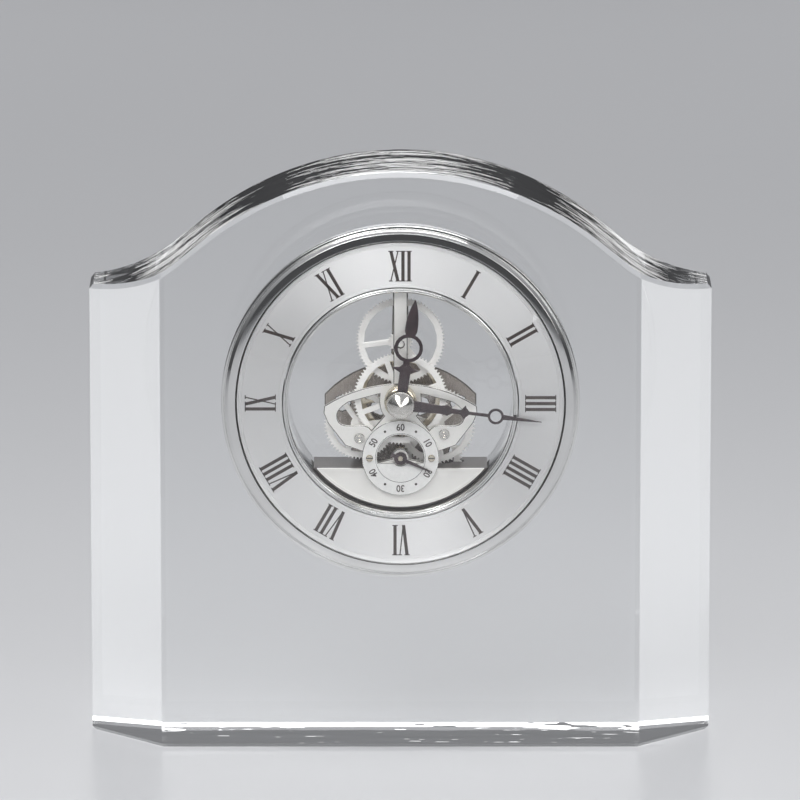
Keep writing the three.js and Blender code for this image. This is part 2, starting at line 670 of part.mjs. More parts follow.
function rearBridge() {
  const top = BRIDGE_TOP + REAR_BRIDGE_RISE;
  const foot = HOUSING_TOP + SEAT_GAP;
  const postTop = Math.sqrt((OPENING_RADIUS - SEAT_GAP) ** 2 - (POST_WIDTH / 2) ** 2);
  const tip = arcPoint(BRIDGE_HALF_WIDTH, top, REAR_BRIDGE_DROP);
  const wing = [
    new THREE.Vector2(POST_WIDTH / 2, postTop),
    ...archSide(top, REAR_BRIDGE_DROP).slice(1),
    ...stepsFrom(tip, REAR_WING_SIDE),
    new THREE.Vector2(REAR_FOOT_HALF_WIDTH + REAR_FOOT_SHOULDER, foot),
    new THREE.Vector2(REAR_FOOT_HALF_WIDTH, foot),
    new THREE.Vector2(REAR_FOOT_HALF_WIDTH, HOUSING_TOP - REAR_FOOT_LENGTH),
  ];
  const shape = bothWings(wing);
  const arbors = [
    [centreAxis, ARBOR_RADIUS],
    [minuteWheelAxis, ARBOR_RADIUS],
    [settingAxis, ARBOR_RADIUS],
    [thirdAxis, ARBOR_RADIUS],
    [driveAxis, THIN_ARBOR_RADIUS],
    [secondsAxis, THIN_ARBOR_RADIUS],
  ];
  for (const [axis, radius] of arbors) shape.holes.push(circle(axis, radius + FIT_GAP));
  const sightHoles = [
    [SIGHT_HOLE_X, WINDOW_SIDE_DROP, SIGHT_HOLE_RADIUS],
    [OUTER_HOLE_X, OUTER_HOLE_DROP, OUTER_HOLE_RADIUS],
  ];
  for (const [x, drop, radius] of sightHoles)
    for (const hand of [-1, 1]) shape.holes.push(circle(new THREE.Vector2(hand * x, -drop), radius));
  return plate(shape, REAR_PLATE_DEPTH, rearPlateBack, 4);
}
add("rear_bridge", rearBridge(), shadowSteel);

// Post from the lip down to the boss, over the minute wheel's front pivot
function postBar() {
  const half = POST_WIDTH / 2;
  const bottom = BOSS_RADIUS + SEAT_GAP;
  const top = Math.sqrt((OPENING_RADIUS - SEAT_GAP) ** 2 - half ** 2);
  const shape = new THREE.Shape([
    new THREE.Vector2(-half, bottom),
    new THREE.Vector2(half, bottom),
    new THREE.Vector2(half, top),
    new THREE.Vector2(-half, top),
  ]);
  shape.holes.push(circle(minuteWheelAxis, ARBOR_RADIUS + FIT_GAP));
  return plate(shape, POST_DEPTH, POST_DEPTH + POST_THICKNESS, 6);
}
add("post_bar", postBar(), plateSilver);

const bossSection = [
  [HOUR_PIPE_RADIUS + SEAT_GAP, FRONT_PLATE_DEPTH - SEAT_GAP],
  [BOSS_RADIUS, FRONT_PLATE_DEPTH - SEAT_GAP],
  [BOSS_RADIUS, BOSS_FRONT + BOSS_BEVEL],
  [BOSS_RADIUS - 0.4 * BOSS_BEVEL, BOSS_FRONT + 0.25 * BOSS_BEVEL],
  [BOSS_RADIUS - BOSS_BEVEL, BOSS_FRONT],
  [HOUR_PIPE_RADIUS + SEAT_GAP, BOSS_FRONT + 0.3 * BOSS_BEVEL],
];
add("centre_boss", turned(bossSection, BOSS_SIDES), brass);

// A screw: a head in front of a shank, with a slot or a round socket in the head.
function screw(head, shank, front, back, socketed = false) {
  const body = joined(
    rod(head, front, front + SCREW_HEAD_THICKNESS, SCREW_SIDES),
    rod(shank, front + SCREW_HEAD_THICKNESS / 2, back, 6),
  );
  const slot = new THREE.BoxGeometry(head * 3, head / 3.5, 2 * SOCKET_DEPTH).translate(0, 0, -front);
  const socket = rod(head / 2, front - 1, front + SOCKET_DEPTH, SCREW_SIDES / 2);
  return cut(body, socketed ? socket : slot);
}

for (const [side, place] of screwPlaces) {
  const front = FRONT_PLATE_DEPTH - SEAT_GAP - SCREW_HEAD_THICKNESS;
  const form = screw(SCREW_HEAD, SCREW_SHANK, front, FRONT_PLATE_DEPTH + PLATE_THICKNESS, true);
  add("bridge_screw_" + side, form, shadowSteel, insert, place);
}

// Seconds dial
function secondsDial() {
  const shape = new THREE.Shape().absarc(0, -SECONDS_DROP, SECONDS_RADIUS, 0, 2 * Math.PI, false);
  shape.holes.push(secondsWindow(SECONDS_WINDOW));
  for (const [, place] of dialScrewPlaces)
    shape.holes.push(circle(place, DIAL_SCREW_SHANK + FIT_GAP));
  return plate(shape, SECONDS_DIAL_DEPTH, SECONDS_DIAL_DEPTH + SECONDS_THICKNESS, 14);
}
const hubRoom = rod(SECONDS_HUB, 0, FRONT_PLATE_DEPTH, HUB_SIDES).translate(0, -SECONDS_DROP, 0);
add("seconds_dial", cut(secondsDial(), hubRoom), whiteEnamel);

for (const [side, place] of dialScrewPlaces) {
  const front = SECONDS_DIAL_DEPTH - SEAT_GAP - SCREW_HEAD_THICKNESS;
  const form = screw(DIAL_SCREW_HEAD, DIAL_SCREW_SHANK, front, FRONT_PLATE_DEPTH + PLATE_THICKNESS);
  add("dial_screw_" + side, form, brass, insert, place);
}

// Housing of the motor and the cell: a shelf across the foot of the opening
const doorFront = housingBack + SEAT_GAP;
const doorScrewTip = -(housingBack - DOOR_SCREW_DEPTH);
const doorScrewPlaces = [
  ["left", new THREE.Vector2(-DOOR_SCREW_OFFSET, HOUSING_TOP - DOOR_BELOW_TOP)],
  ["right", new THREE.Vector2(DOOR_SCREW_OFFSET, HOUSING_TOP - DOOR_BELOW_TOP)],
];
function segmentShape(radius, top) {
  const from = Math.asin(top / radius);
  const shape = new THREE.Shape();
  shape.absarc(0, 0, radius, Math.PI - from, 2 * Math.PI + from, false);
  shape.closePath();
  return shape;
}

// A bore with the usual clearance round a shaft, at an axis.
const bore = (radius, front, back, axis) =>
  rod(radius + FIT_GAP, front, back).translate(axis.x, axis.y, 0);

function movementHousing() {
  const room = 2 * SEAT_GAP;
  const wheelRoom = (teeth, axis, front, back) =>
    rod(tipRadius(teeth, FAST_MODULE) + room, front, back, 32).translate(axis.x, axis.y, 0);
  const driveFront = DRIVE_WHEEL_DEPTH - room;
  const thirdFront = THIRD_WHEEL_DEPTH - room;
  const footWidth = 2 * (REAR_FOOT_HALF_WIDTH + SEAT_GAP);
  const footDepth = PLATE_THICKNESS + 2 * SEAT_GAP;
  const footSlot = new THREE.BoxGeometry(footWidth, 2 * (REAR_FOOT_LENGTH + SEAT_GAP), footDepth);
  return cut(
    plate(segmentShape(OPENING_RADIUS - SEAT_GAP, HOUSING_TOP), housingFront, housingBack, 14),
    wheelRoom(DRIVE_TEETH, driveAxis, driveFront, REAR_PLATE_DEPTH),
    wheelRoom(THIRD_TEETH, thirdAxis, thirdFront, driveFront + 0.1),
    footSlot.translate(0, HOUSING_TOP, -(REAR_PLATE_DEPTH + PLATE_THICKNESS / 2)),
    bore(THIN_ARBOR_RADIUS, REAR_PLATE_DEPTH, arborBack + FIT_GAP, driveAxis),
    ...doorScrewPlaces.map(([, place]) =>
      bore(DIAL_SCREW_SHANK, -doorScrewTip - FIT_GAP, housingBack + 1, place),
    ),
  );
}
add("movement_housing", movementHousing(), shadowSteel);

// The shelf's plate has a raised border, and a notch where the bridge's foot and the seconds dial pass.
function shelfPlate() {
  const radius = OPENING_RADIUS - 1;
  const back = housingFront - SEAT_GAP;
  const front = back - SHELF_PLATE_THICKNESS;
  const segment = (inset, from, to) =>
    plate(segmentShape(radius - inset, HOUSING_TOP - inset), from, to, 14);
  const border = cut(
    segment(0, front - SHELF_BORDER_RISE, front + 0.1),
    segment(SHELF_BORDER_WIDTH, front - 1, back),
  );
  const notch = rod(BRIDGE_FOOT_RADIUS + 2 * SEAT_GAP, 0, housingFront + 1, 32);
  return cut(joined(segment(0, front, back), border), notch.translate(0, -SECONDS_DROP, 0));
}
add("shelf_plate", shelfPlate(), plateSilver);

const doorCentre = new THREE.Vector2(0, HOUSING_TOP - DOOR_BELOW_TOP);
function roundedRectangle(width, height, corner) {
  const x = width / 2;
  const y = height / 2;
  const shape = new THREE.Shape();
  shape.absarc(x - corner, y - corner, corner, 0, Math.PI / 2, false);
  shape.absarc(-x + corner, y - corner, corner, Math.PI / 2, Math.PI, false);
  shape.absarc(-x + corner, -y + corner, corner, Math.PI, 1.5 * Math.PI, false);
  shape.absarc(x - corner, -y + corner, corner, 1.5 * Math.PI, 2 * Math.PI, false);
  return shape;
}

function batteryDoor() {
  const shape = roundedRectangle(DOOR_WIDTH, DOOR_HEIGHT, 1);
  for (const side of [-1, 1])
    shape.holes.push(
      circle(new THREE.Vector2(side * DOOR_SCREW_OFFSET, 0), DIAL_SCREW_SHANK + FIT_GAP),
    );
  return plate(shape, doorFront, doorFront + DOOR_THICKNESS, 3);
}
add("battery_door", batteryDoor(), greyPlastic, insert, doorCentre);

for (const [side, place] of doorScrewPlaces) {
  const headBack = doorFront + DOOR_THICKNESS + SEAT_GAP + SCREW_HEAD_THICKNESS;
  const form = screw(DIAL_SCREW_HEAD, DIAL_SCREW_SHANK, -headBack, doorScrewTip);
  add("door_screw_" + side, form.rotateX(Math.PI), shadowSteel, insert, place);
}

// Hand work: cannon pinion, minute wheel, hour wheel and setting wheel
const cannonPhase = Math.PI / 2;
const cannonBore = ARBOR_RADIUS + FIT_GAP;
const hourBore = CANNON_PIPE_RADIUS + FIT_GAP;
const pipeEnd = (wheelFront) => wheelFront + WHEEL_THICKNESS / 2;
const phaseFromCannon = (teeth, axis) =>
  meshedPhase(CANNON_TEETH, cannonPhase, centreAxis, teeth, axis);

const cannonFront = MINUTE_HAND_FRONT - PIPE_OVER;
add(
  "cannon_pinion",
  joined(
    pinion(CANNON_TEETH, HAND_MODULE, cannonPhase, MINUTE_WHEEL_DEPTH, cannonBore),
    pipe(cannonBore, CANNON_PIPE_RADIUS, cannonFront, pipeEnd(MINUTE_WHEEL_DEPTH), HUB_SIDES),
  ),
  brass,
);

const minuteWheelPhase = phaseFromCannon(MINUTE_WHEEL_TEETH, minuteWheelAxis);
const minutePinionPhase = 0.3;
add(
  "minute_wheel",
  joined(
    wheel(MINUTE_WHEEL_TEETH, HAND_MODULE, minuteWheelPhase, MINUTE_WHEEL_DEPTH, 3, 188),
    pinion(MINUTE_PINION_TEETH, HAND_MODULE, minutePinionPhase, HOUR_WHEEL_DEPTH),
    rod(ARBOR_RADIUS, POST_DEPTH - ARBOR_OVER / 2, arborBack),
    rod(PINION_HUB, HOUR_WHEEL_DEPTH, pipeEnd(MINUTE_WHEEL_DEPTH), HUB_SIDES),
  ),
  wheelSilver,
  insert,
  minuteWheelAxis,
);

const hourPhase = meshedPhase(
  MINUTE_PINION_TEETH,
  minutePinionPhase,
  minuteWheelAxis,
  HOUR_WHEEL_TEETH,
  centreAxis,
);
add(
  "hour_wheel",
  joined(
    wheel(HOUR_WHEEL_TEETH, HAND_MODULE, hourPhase, HOUR_WHEEL_DEPTH, 4, 20, hourBore),
    pipe(hourBore, HOUR_PIPE_RADIUS, HOUR_HAND_FRONT - PIPE_OVER, pipeEnd(HOUR_WHEEL_DEPTH), HUB_SIDES),
  ),
  wheelSilver,
);

const knobFront = rearPlateBack + SEAT_GAP;
const knobBack = CAN_DEPTH - SEAT_GAP;
const knobArborBack = rearPlateBack + KNOB_GRIP;
const settingPhase = phaseFromCannon(SETTING_TEETH, settingAxis);
add(
  "setting_wheel",
  joined(
    wheel(SETTING_TEETH, HAND_MODULE, settingPhase, MINUTE_WHEEL_DEPTH, 3, 245),
    rod(ARBOR_RADIUS, MINUTE_WHEEL_DEPTH - ARBOR_OVER, knobArborBack),
  ),
  wheelSilver,
  insert,
  settingAxis,
);

function settingKnob() {
  const points = [];
  for (let i = 0; i < 2 * KNOB_RIBS; i += 1)
    points.push(polar(KNOB_RADIUS - (i % 2 ? KNOB_RIB_DEPTH : 0), (Math.PI * i) / KNOB_RIBS));
  const socket = bore(ARBOR_RADIUS, knobFront - 1, knobArborBack + FIT_GAP, centreAxis);
  return cut(plate(new THREE.Shape(points), knobFront, knobBack), socket);
}
add("setting_knob", settingKnob(), greyPlastic, insert, settingAxis);

// Going train: the motor's drive wheel, seconds pinion, third wheel and centre wheel
const secondsPhase = 0.2;
const phaseFromSeconds = (teeth, axis) =>
  meshedPhase(SECONDS_PINION_TEETH, secondsPhase, secondsAxis, teeth, axis);
const thirdPinionPhase = 0.15;
const centrePhase = meshedPhase(
  THIRD_PINION_TEETH,
  thirdPinionPhase,
  thirdAxis,
  CENTRE_TEETH,
  centreAxis,
);

// The seconds pinion is long enough to meet both wheels.
function longPinion() {
  const shape = gearOutline(SECONDS_PINION_TEETH, FAST_MODULE, secondsPhase);
  const over = (PINION_THICKNESS - WHEEL_THICKNESS) / 2;
  return plate(shape, THIRD_WHEEL_DEPTH - over, DRIVE_WHEEL_DEPTH + WHEEL_THICKNESS + over, 4);
}
add(
  "seconds_pinion",
  joined(longPinion(), rod(THIN_ARBOR_RADIUS, SECONDS_HAND_FRONT - ARBOR_OVER, arborBack)),
  brass,
  insert,
  secondsAxis,
);
add(
  "drive_wheel",
  joined(
    wheel(DRIVE_TEETH, FAST_MODULE, phaseFromSeconds(DRIVE_TEETH, driveAxis), DRIVE_WHEEL_DEPTH, 3, 75),
    rod(THIN_ARBOR_RADIUS, DRIVE_WHEEL_DEPTH - ARBOR_OVER, arborBack),
  ),
  wheelSilver,
  insert,
  driveAxis,
);
add(
  "third_wheel",
  joined(
    wheel(THIRD_TEETH, FAST_MODULE, phaseFromSeconds(THIRD_TEETH, thirdAxis), THIRD_WHEEL_DEPTH, 3, 40),
    pinion(THIRD_PINION_TEETH, SLOW_MODULE, thirdPinionPhase, CENTRE_WHEEL_DEPTH),
    rod(ARBOR_RADIUS, CENTRE_WHEEL_DEPTH - ARBOR_OVER, arborBack),
  ),
  wheelSilver,
  insert,
  thirdAxis,
);
const arborFront = MINUTE_HAND_FRONT - CENTRE_ARBOR_REACH;
add(
  "centre_wheel",
  joined(
    wheel(CENTRE_TEETH, SLOW_MODULE, centrePhase, CENTRE_WHEEL_DEPTH, 4, 10),
    rod(ARBOR_RADIUS, arborFront, arborBack),
  ),
  brass,
);

// Hands
const minuteTurn = (MINUTES_SHOWN / 60) * 2 * Math.PI;
const hourTurn = minuteTurn / 12;
const secondsTurn = (SECONDS_SHOWN / 60) * 2 * Math.PI;

const hourRing = { height: HOUR_RING, radius: HOUR_RING_RADIUS, width: HOUR_RING_WIDTH };
const hourRingSide = HOUR_RING_RADIUS - HOUR_RING_WIDTH / 2;
const hourOutline = [
  new THREE.Vector2(HOUR_STEM, 1),
  ...flareSide(HOUR_FLARE, HOUR_RING_RADIUS, HOUR_STEM, 0.6 * HOUR_STEM),
  new THREE.Vector2(0.6 * HOUR_STEM, HOUR_RING - hourRingSide),
  ...leafSide(HOUR_RING + hourRingSide, HOUR_LENGTH, 0.16, HOUR_LEAF, HOUR_LEAF_FOOT, TIP_WIDTH),
];
add(
  "hour_hand",
  handForm(hourOutline, HOUR_HUB, HOUR_PIPE_RADIUS + FIT_GAP, HOUR_HAND_FRONT, hourTurn, hourRing),
  handDark,
);

const minuteRing = { height: MINUTE_RING, radius: MINUTE_RING_RADIUS, width: MINUTE_RING_WIDTH };
const minuteRingSide = MINUTE_RING_RADIUS - MINUTE_RING_WIDTH / 2;
const minuteOutline = [
  new THREE.Vector2(MINUTE_STEM, 1),
  new THREE.Vector2(MINUTE_STEM, MINUTE_BARB / 3),
  new THREE.Vector2(0.75 * MINUTE_STEM, MINUTE_BARB - BARB_SLOPE),
  new THREE.Vector2(0.95 * MINUTE_STEM, MINUTE_BARB),
  new THREE.Vector2(0.45 * MINUTE_STEM, MINUTE_BARB + BARB_BACK),
  ...flareSide(MINUTE_FLARE, MINUTE_RING_RADIUS - 0.2, 0.4 * MINUTE_STEM, MINUTE_NECK),
  new THREE.Vector2(MINUTE_NECK, MINUTE_RING - minuteRingSide),
  new THREE.Vector2(1.6 * MINUTE_NECK, MINUTE_RING + minuteRingSide),
  new THREE.Vector2(TIP_WIDTH, MINUTE_LENGTH),
];
add(
  "minute_hand",
  handForm(
    minuteOutline,
    MINUTE_HUB,
    CANNON_PIPE_RADIUS + FIT_GAP,
    MINUTE_HAND_FRONT,
    minuteTurn,
    minuteRing,
  ),
  handDark,
);

const secondsOutline = [
  new THREE.Vector2(1.1 * SECOND_STEM, -SECOND_TAIL),
  new THREE.Vector2(SECOND_STEM, 0),
  new THREE.Vector2(0.84 * SECOND_STEM, 0.4 * SECOND_LENGTH),
  new THREE.Vector2(1.5 * TIP_WIDTH, SECOND_LENGTH),
];
add(
  "seconds_hand",
  handForm(
    secondsOutline,
    SECOND_HUB,
    THIN_ARBOR_RADIUS + FIT_GAP,
    SECONDS_HAND_FRONT,
    secondsTurn,
  ),
  handDark,
  insert,
  secondsAxis,
);

// Knurled nut with a cone, on the end of the centre arbor
function handNut() {
  const back = MINUTE_HAND_FRONT - SEAT_GAP;
  const rimFront = back - NUT_RIM;
  const coneRadius = NUT_RADIUS - 2 * KNURL_DEPTH;
  const points = [];
  for (let i = 0; i < 2 * NUT_KNURLS; i += 1)
    points.push(polar(NUT_RADIUS - (i % 2 ? KNURL_DEPTH : 0), (Math.PI * i) / NUT_KNURLS));
  const cone = turned(
    [
      [0, back],
      [coneRadius, back],
      [coneRadius, rimFront],
      [0, back - NUT_HEIGHT],
    ],
    BOSS_SIDES,
  );
  const socket = bore(ARBOR_RADIUS, arborFront - FIT_GAP, back + 1, centreAxis);
  return cut(joined(plate(new THREE.Shape(points), rimFront, back), cone), socket);
}
add("hand_nut", handNut(), chrome);

export default clock;
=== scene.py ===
import json
import math

import bmesh
import bpy
from mathutils import Matrix, Vector


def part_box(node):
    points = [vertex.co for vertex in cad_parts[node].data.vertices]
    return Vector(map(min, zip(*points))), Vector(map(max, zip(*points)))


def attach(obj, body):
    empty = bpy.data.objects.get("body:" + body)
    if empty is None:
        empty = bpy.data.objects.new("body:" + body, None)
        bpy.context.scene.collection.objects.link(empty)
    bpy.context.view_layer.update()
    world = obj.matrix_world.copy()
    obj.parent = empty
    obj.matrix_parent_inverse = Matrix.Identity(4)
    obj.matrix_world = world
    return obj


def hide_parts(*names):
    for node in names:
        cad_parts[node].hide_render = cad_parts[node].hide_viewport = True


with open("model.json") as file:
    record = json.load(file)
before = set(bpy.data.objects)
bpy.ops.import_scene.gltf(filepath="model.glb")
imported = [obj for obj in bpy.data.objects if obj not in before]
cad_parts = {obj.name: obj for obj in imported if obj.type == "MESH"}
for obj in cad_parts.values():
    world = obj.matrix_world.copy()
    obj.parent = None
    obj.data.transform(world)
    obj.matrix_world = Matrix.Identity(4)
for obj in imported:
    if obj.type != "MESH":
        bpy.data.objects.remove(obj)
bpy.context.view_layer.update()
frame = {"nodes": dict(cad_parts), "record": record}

MM = 0.001
CASE = "case"

# Crystal block, in mm
BLOCK_WIDTH = 178
BLOCK_HEIGHT = 167.6
BLOCK_DEPTH = 38
ARCH_RADIUS = 90
ARCH_ANGLE = math.radians(39)
HOLLOW_RADIUS = 46
SHOULDER_ANGLE = math.radians(5)
FACET_LEG = 20.6
EDGE_BEVEL = 1.4 / 1.2
RECESS_RADIUS = 49.2
RECESS_DEPTH = 18.1
OVERCUT = 5

# How close is as good as touching, for corners and for faces, in mm
TINY = 0.001
NEAR = 0.1

# Insert: radii from the dial's axis and depths behind the dial's face, in mm
DIAL_PROUD = 3.3
DIAL_FACE = -(BLOCK_DEPTH / 2 + DIAL_PROUD)
DIAL_HEIGHT = 101.8
DIAL_RADIUS = 46.5
DIAL_THICKNESS = 1
DIAL_GROOVE = 0.12
OPENING_RADIUS = 32
LIP_OUTER = 33.3
CAN_RADIUS = 47.6
CAN_WALL = 0.8
CAN_FRONT = 1.3
CAN_BACK = 20.9
BEZEL_RADIUS = 51
BEZEL_BACK = 3
GRIP_FRONT = 7.6
GRIP_WIDTH = 8.9
GRIP_RIBS = 4
GRIP_GAP = 0.15
LENS_SEAT = 0.3
LENS_RISE = 8
LENS_THICKNESS = 1.2
NUMERAL_FOOT = 35.3
NUMERAL_HEIGHT = 8.8
NUMERAL_LIFT = 0.005
NUMERAL_RELIEF = 0.06

# Screws, nut and seconds dial, in mm
SCREW_HEAD_THICKNESS = 0.4
BRIDGE_SCREW_HEAD = 1.5
BRIDGE_SCREW_SHANK = 0.8
BRIDGE_SCREWS = {"left": (-11.6, -11), "right": (12.4, -9.8)}
DIAL_SCREW_OFFSET = 8.8
DIAL_SCREW_HEAD = 1
DIAL_SCREW_SHANK = 0.5
SLOT_HALF_WIDTH = 0.18
SLOT_DEPTH = 0.3
KNURL_SWING = 0.09
NUT_TIP = -5.2
SECONDS_CENTRE = -16.5
SECONDS_DIAL_FRONT = 3.2
SECONDS_NUMBER_RADIUS = 8.8
SECONDS_NUMBER_SIZE = 2.75
SECONDS_NUMBER_BOLDNESS = 0.045
SECONDS_NUMBER_SQUEEZE = 0.86
SECONDS_NUMBER_RELIEF = 0.06
SECONDS_DOT_RADIUS = 0.36
SECONDS_TRACK_RADIUS = 7.1
SECONDS_TRACK_HALF_WIDTH = 0.07
SECONDS_TRACK_RELIEF = 0.03

# Steps round the turned pieces, and the knurls on the nut's rim
ROUND_STEPS = 192
SCREW_SIDES = 48
KNURLS = 44

# Heights that the materials' bumps stand for, in metres
COARSE_GRAIN = 0.00005
PAINT_GRAIN = 0.00004
SPUN_GRAIN = 0.00003
STREAK_RELIEF = 0.0004

# How strongly the two kinds of glass bend light
CRYSTAL_IOR = 1.52
LENS_IOR = 1.45

# From the insert's own axes (right, up, towards the front) to the part's frame
INSERT = (
    Matrix.Translation((0, DIAL_FACE * MM, DIAL_HEIGHT * MM))
    @ Matrix.Rotation(math.pi / 2, 4, "X")
    @ Matrix.Scale(MM, 4)
)


# Meshes
def new_piece(name, mesh, body, materials, replaced=()):
    piece = bpy.data.objects.new(name, mesh)
    bpy.context.scene.collection.objects.link(piece)
    for material in materials:
        mesh.materials.append(material)
    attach(piece, body)
    if replaced:
        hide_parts(*replaced)


def finished(bm, name, sharp_degrees, matrix=None):
    """A mesh from a bmesh, smooth except where it turns sharply."""
    if matrix is not None:
        bm.transform(matrix)
    bmesh.ops.recalc_face_normals(bm, faces=bm.faces)
    mesh = bpy.data.meshes.new(name)
    bm.to_mesh(mesh)
    bm.free()
    mesh.polygons.foreach_set("use_smooth", [True] * len(mesh.polygons))
    mesh.set_sharp_from_angle(angle=math.radians(sharp_degrees))
    return mesh


def lathe(section, steps=ROUND_STEPS):
    """A bmesh turned round the dial's axis from a closed list of (radius, depth) corners.

    A corner with a third value is knurled: its radius falls by up to twice that value.
    """
    bm = bmesh.new()
    rings = []
    for radius, depth, *knurl in section:
        if radius == 0:
            rings.append([bm.verts.new((0, 0, -depth))])
            continue
        ring = []
        for step in range(steps):
            angle = 2 * math.pi * step / steps
            reach = radius - sum(knurl) * (1 - math.cos(angle * KNURLS))
            ring.append(bm.verts.new((reach * math.cos(angle), reach * math.sin(angle), -depth)))
        rings.append(ring)
    for near, far in zip(rings, rings[1:] + rings[:1]):
        if len(near) == 1 and len(far) == 1:
            continue
        for step in range(steps):
            after = (step + 1) % steps
            near_corners = [near[step % len(near)], near[after % len(near)]]
            far_corners = [far[after % len(far)], far[step % len(far)]]
            bm.faces.new(list(dict.fromkeys(near_corners + far_corners)))
    return bm


def rounded(section, size):
    """The same closed section with each corner rounded off by up to this size."""
    steps = 3
    most = 0.45
    out = []
    count = len(section)
    for i, corner in enumerate(section):
        here = Vector(corner)
        before = Vector(section[i - 1])
        after = Vector(section[(i + 1) % count])
        if here.x == 0:
            out.append(corner)
            continue
        back = min(size, (before - here).length * most)
        ahead = min(size, (after - here).length * most)
        start = here + (before - here).normalized() * back
        end = here + (after - here).normalized() * ahead
        for step in range(steps + 1):
            share = step / steps
            point = start.lerp(here, share).lerp(here.lerp(end, share), share)
            out.append((point.x, point.y))
    return out


# Materials
def nodes_of(name):
    material = bpy.data.materials.new(name)
    material.use_nodes = True
    tree = material.node_tree
    shader = tree.nodes["Principled BSDF"]
    return material, tree, shader


def link(tree, source, target):
    tree.links.new(source, target)


def add(tree, kind, **settings):
    node = tree.nodes.new(kind)
    for key, value in settings.items():
        setattr(node, key, value)
    return node


def noise(tree, scale, detail, stretch=(1, 1, 1)):
    """A noise over the part's own metres, stretched along its axes."""
    place = add(tree, "ShaderNodeTexCoord")
    mapping = add(tree, "ShaderNodeMapping")
    mapping.inputs["Scale"].default_value = stretch
    texture = add(tree, "ShaderNodeTexNoise")
    texture.inputs["Scale"].default_value = scale
    texture.inputs["Detail"].default_value = detail
    link(tree, place.outputs["Object"], mapping.inputs["Vector"])
    link(tree, mapping.outputs["Vector"], texture.inputs["Vector"])
    return texture.outputs["Fac"]


def ramp(tree, fac, dark, light, low=0.3, high=0.7):
    node = add(tree, "ShaderNodeValToRGB")
    node.color_ramp.elements[0].position = low
    node.color_ramp.elements[0].color = (*dark, 1)
    node.color_ramp.elements[1].position = high
    node.color_ramp.elements[1].color = (*light, 1)
    link(tree, fac, node.inputs["Fac"])
    return node.outputs["Color"]


def spread(tree, fac, low, high):
    node = add(tree, "ShaderNodeMapRange")
    node.inputs["To Min"].default_value = low
    node.inputs["To Max"].default_value = high
    link(tree, fac, node.inputs["Value"])
    return node.outputs["Result"]


def bumped(tree, shader, height, strength, distance):
    node = add(tree, "ShaderNodeBump")
    node.inputs["Strength"].default_value = strength
    node.inputs["Distance"].default_value = distance
    link(tree, height, node.inputs["Height"])
    link(tree, node.outputs["Normal"], shader.inputs["Normal"])


def metal(name, dark, light, rough, grain, stretch=(1, 1, 1), bump=0.05, metallic=1.0):
    """A metal with a fine grain: its colour, gloss and surface all follow one noise."""
    material, tree, shader = nodes_of(name)
    shader.inputs["Metallic"].default_value = metallic
    fine = noise(tree, grain, 4, stretch)
    broad = noise(tree, 60, 2)
    link(tree, ramp(tree, broad, dark, light), shader.inputs["Base Color"])
    link(tree, spread(tree, fine, rough[0], rough[1]), shader.inputs["Roughness"])
    bumped(tree, shader, fine, bump, COARSE_GRAIN)
    return material


def radius_from_dial(tree):
    place = add(tree, "ShaderNodeTexCoord")
    shift = add(tree, "ShaderNodeVectorMath", operation="MULTIPLY_ADD")
    shift.inputs[1].default_value = (1, 0, 1)
    shift.inputs[2].default_value = (0, 0, -DIAL_HEIGHT * MM)
    length = add(tree, "ShaderNodeVectorMath", operation="LENGTH")
    link(tree, place.outputs["Object"], shift.inputs[0])
    link(tree, shift.outputs["Vector"], length.inputs[0])
    return length.outputs["Value"]


def spun_metal(name, dark, light, rough, metallic):
    """Silver brushed in circles round the dial's axis, with grooves that follow the radius."""
    material, tree, shader = nodes_of(name)
    shader.inputs["Metallic"].default_value = metallic
    shader.inputs["Anisotropic"].default_value = 0.85
    shader.inputs["Anisotropic Rotation"].default_value = 0.25
    groove = add(tree, "ShaderNodeTexNoise", noise_dimensions="1D")
    groove.inputs["Scale"].default_value = 9000
    groove.inputs["Detail"].default_value = 2
    link(tree, radius_from_dial(tree), groove.inputs["W"])
    tangent = add(tree, "ShaderNodeTangent", direction_type="RADIAL", axis="Y")
    link(tree, tangent.outputs["Tangent"], shader.inputs["Tangent"])
    link(tree, ramp(tree, groove.outputs["Fac"], dark, light), shader.inputs["Base Color"])
    link(tree, spread(tree, groove.outputs["Fac"], rough[0], rough[1]), shader.inputs["Roughness"])
    bumped(tree, shader, groove.outputs["Fac"], 0.12, SPUN_GRAIN)
    return material


def smooth_range(tree, value, start, end, low=0.0, high=1.0):
    node = add(tree, "ShaderNodeMapRange", interpolation_type="SMOOTHSTEP")
    node.inputs["From Min"].default_value = start
    node.inputs["From Max"].default_value = end
    node.inputs["To Min"].default_value = low
    node.inputs["To Max"].default_value = high
    link(tree, value, node.inputs["Value"])
    return node.outputs["Result"]


def height_of(tree, output):
    split = add(tree, "ShaderNodeSeparateXYZ")
    link(tree, output, split.inputs["Vector"])
    return split.outputs["Z"]


def polish_streaks(tree, shader):
    """Lengthwise streaks of hand polishing on the surfaces that face up, faint at the foot."""
    surface = add(tree, "ShaderNodeNewGeometry")
    place = add(tree, "ShaderNodeTexCoord")
    upward = smooth_range(tree, height_of(tree, surface.outputs["Normal"]), 0.6, 0.75)
    foot, shoulder = 0.02, 0.1
    faint, strong = 0.22, 0.8
    high = smooth_range(tree, height_of(tree, place.outputs["Object"]), foot, shoulder, faint, strong)
    strength = add(tree, "ShaderNodeMath", operation="MULTIPLY")
    link(tree, upward, strength.inputs[0])
    link(tree, high, strength.inputs[1])
    bump = add(tree, "ShaderNodeBump")
    bump.inputs["Distance"].default_value = STREAK_RELIEF
    link(tree, strength.outputs["Value"], bump.inputs["Strength"])
    link(tree, noise(tree, 34, 3, (1, 4.5, 1)), bump.inputs["Height"])
    link(tree, bump.outputs["Normal"], shader.inputs["Normal"])


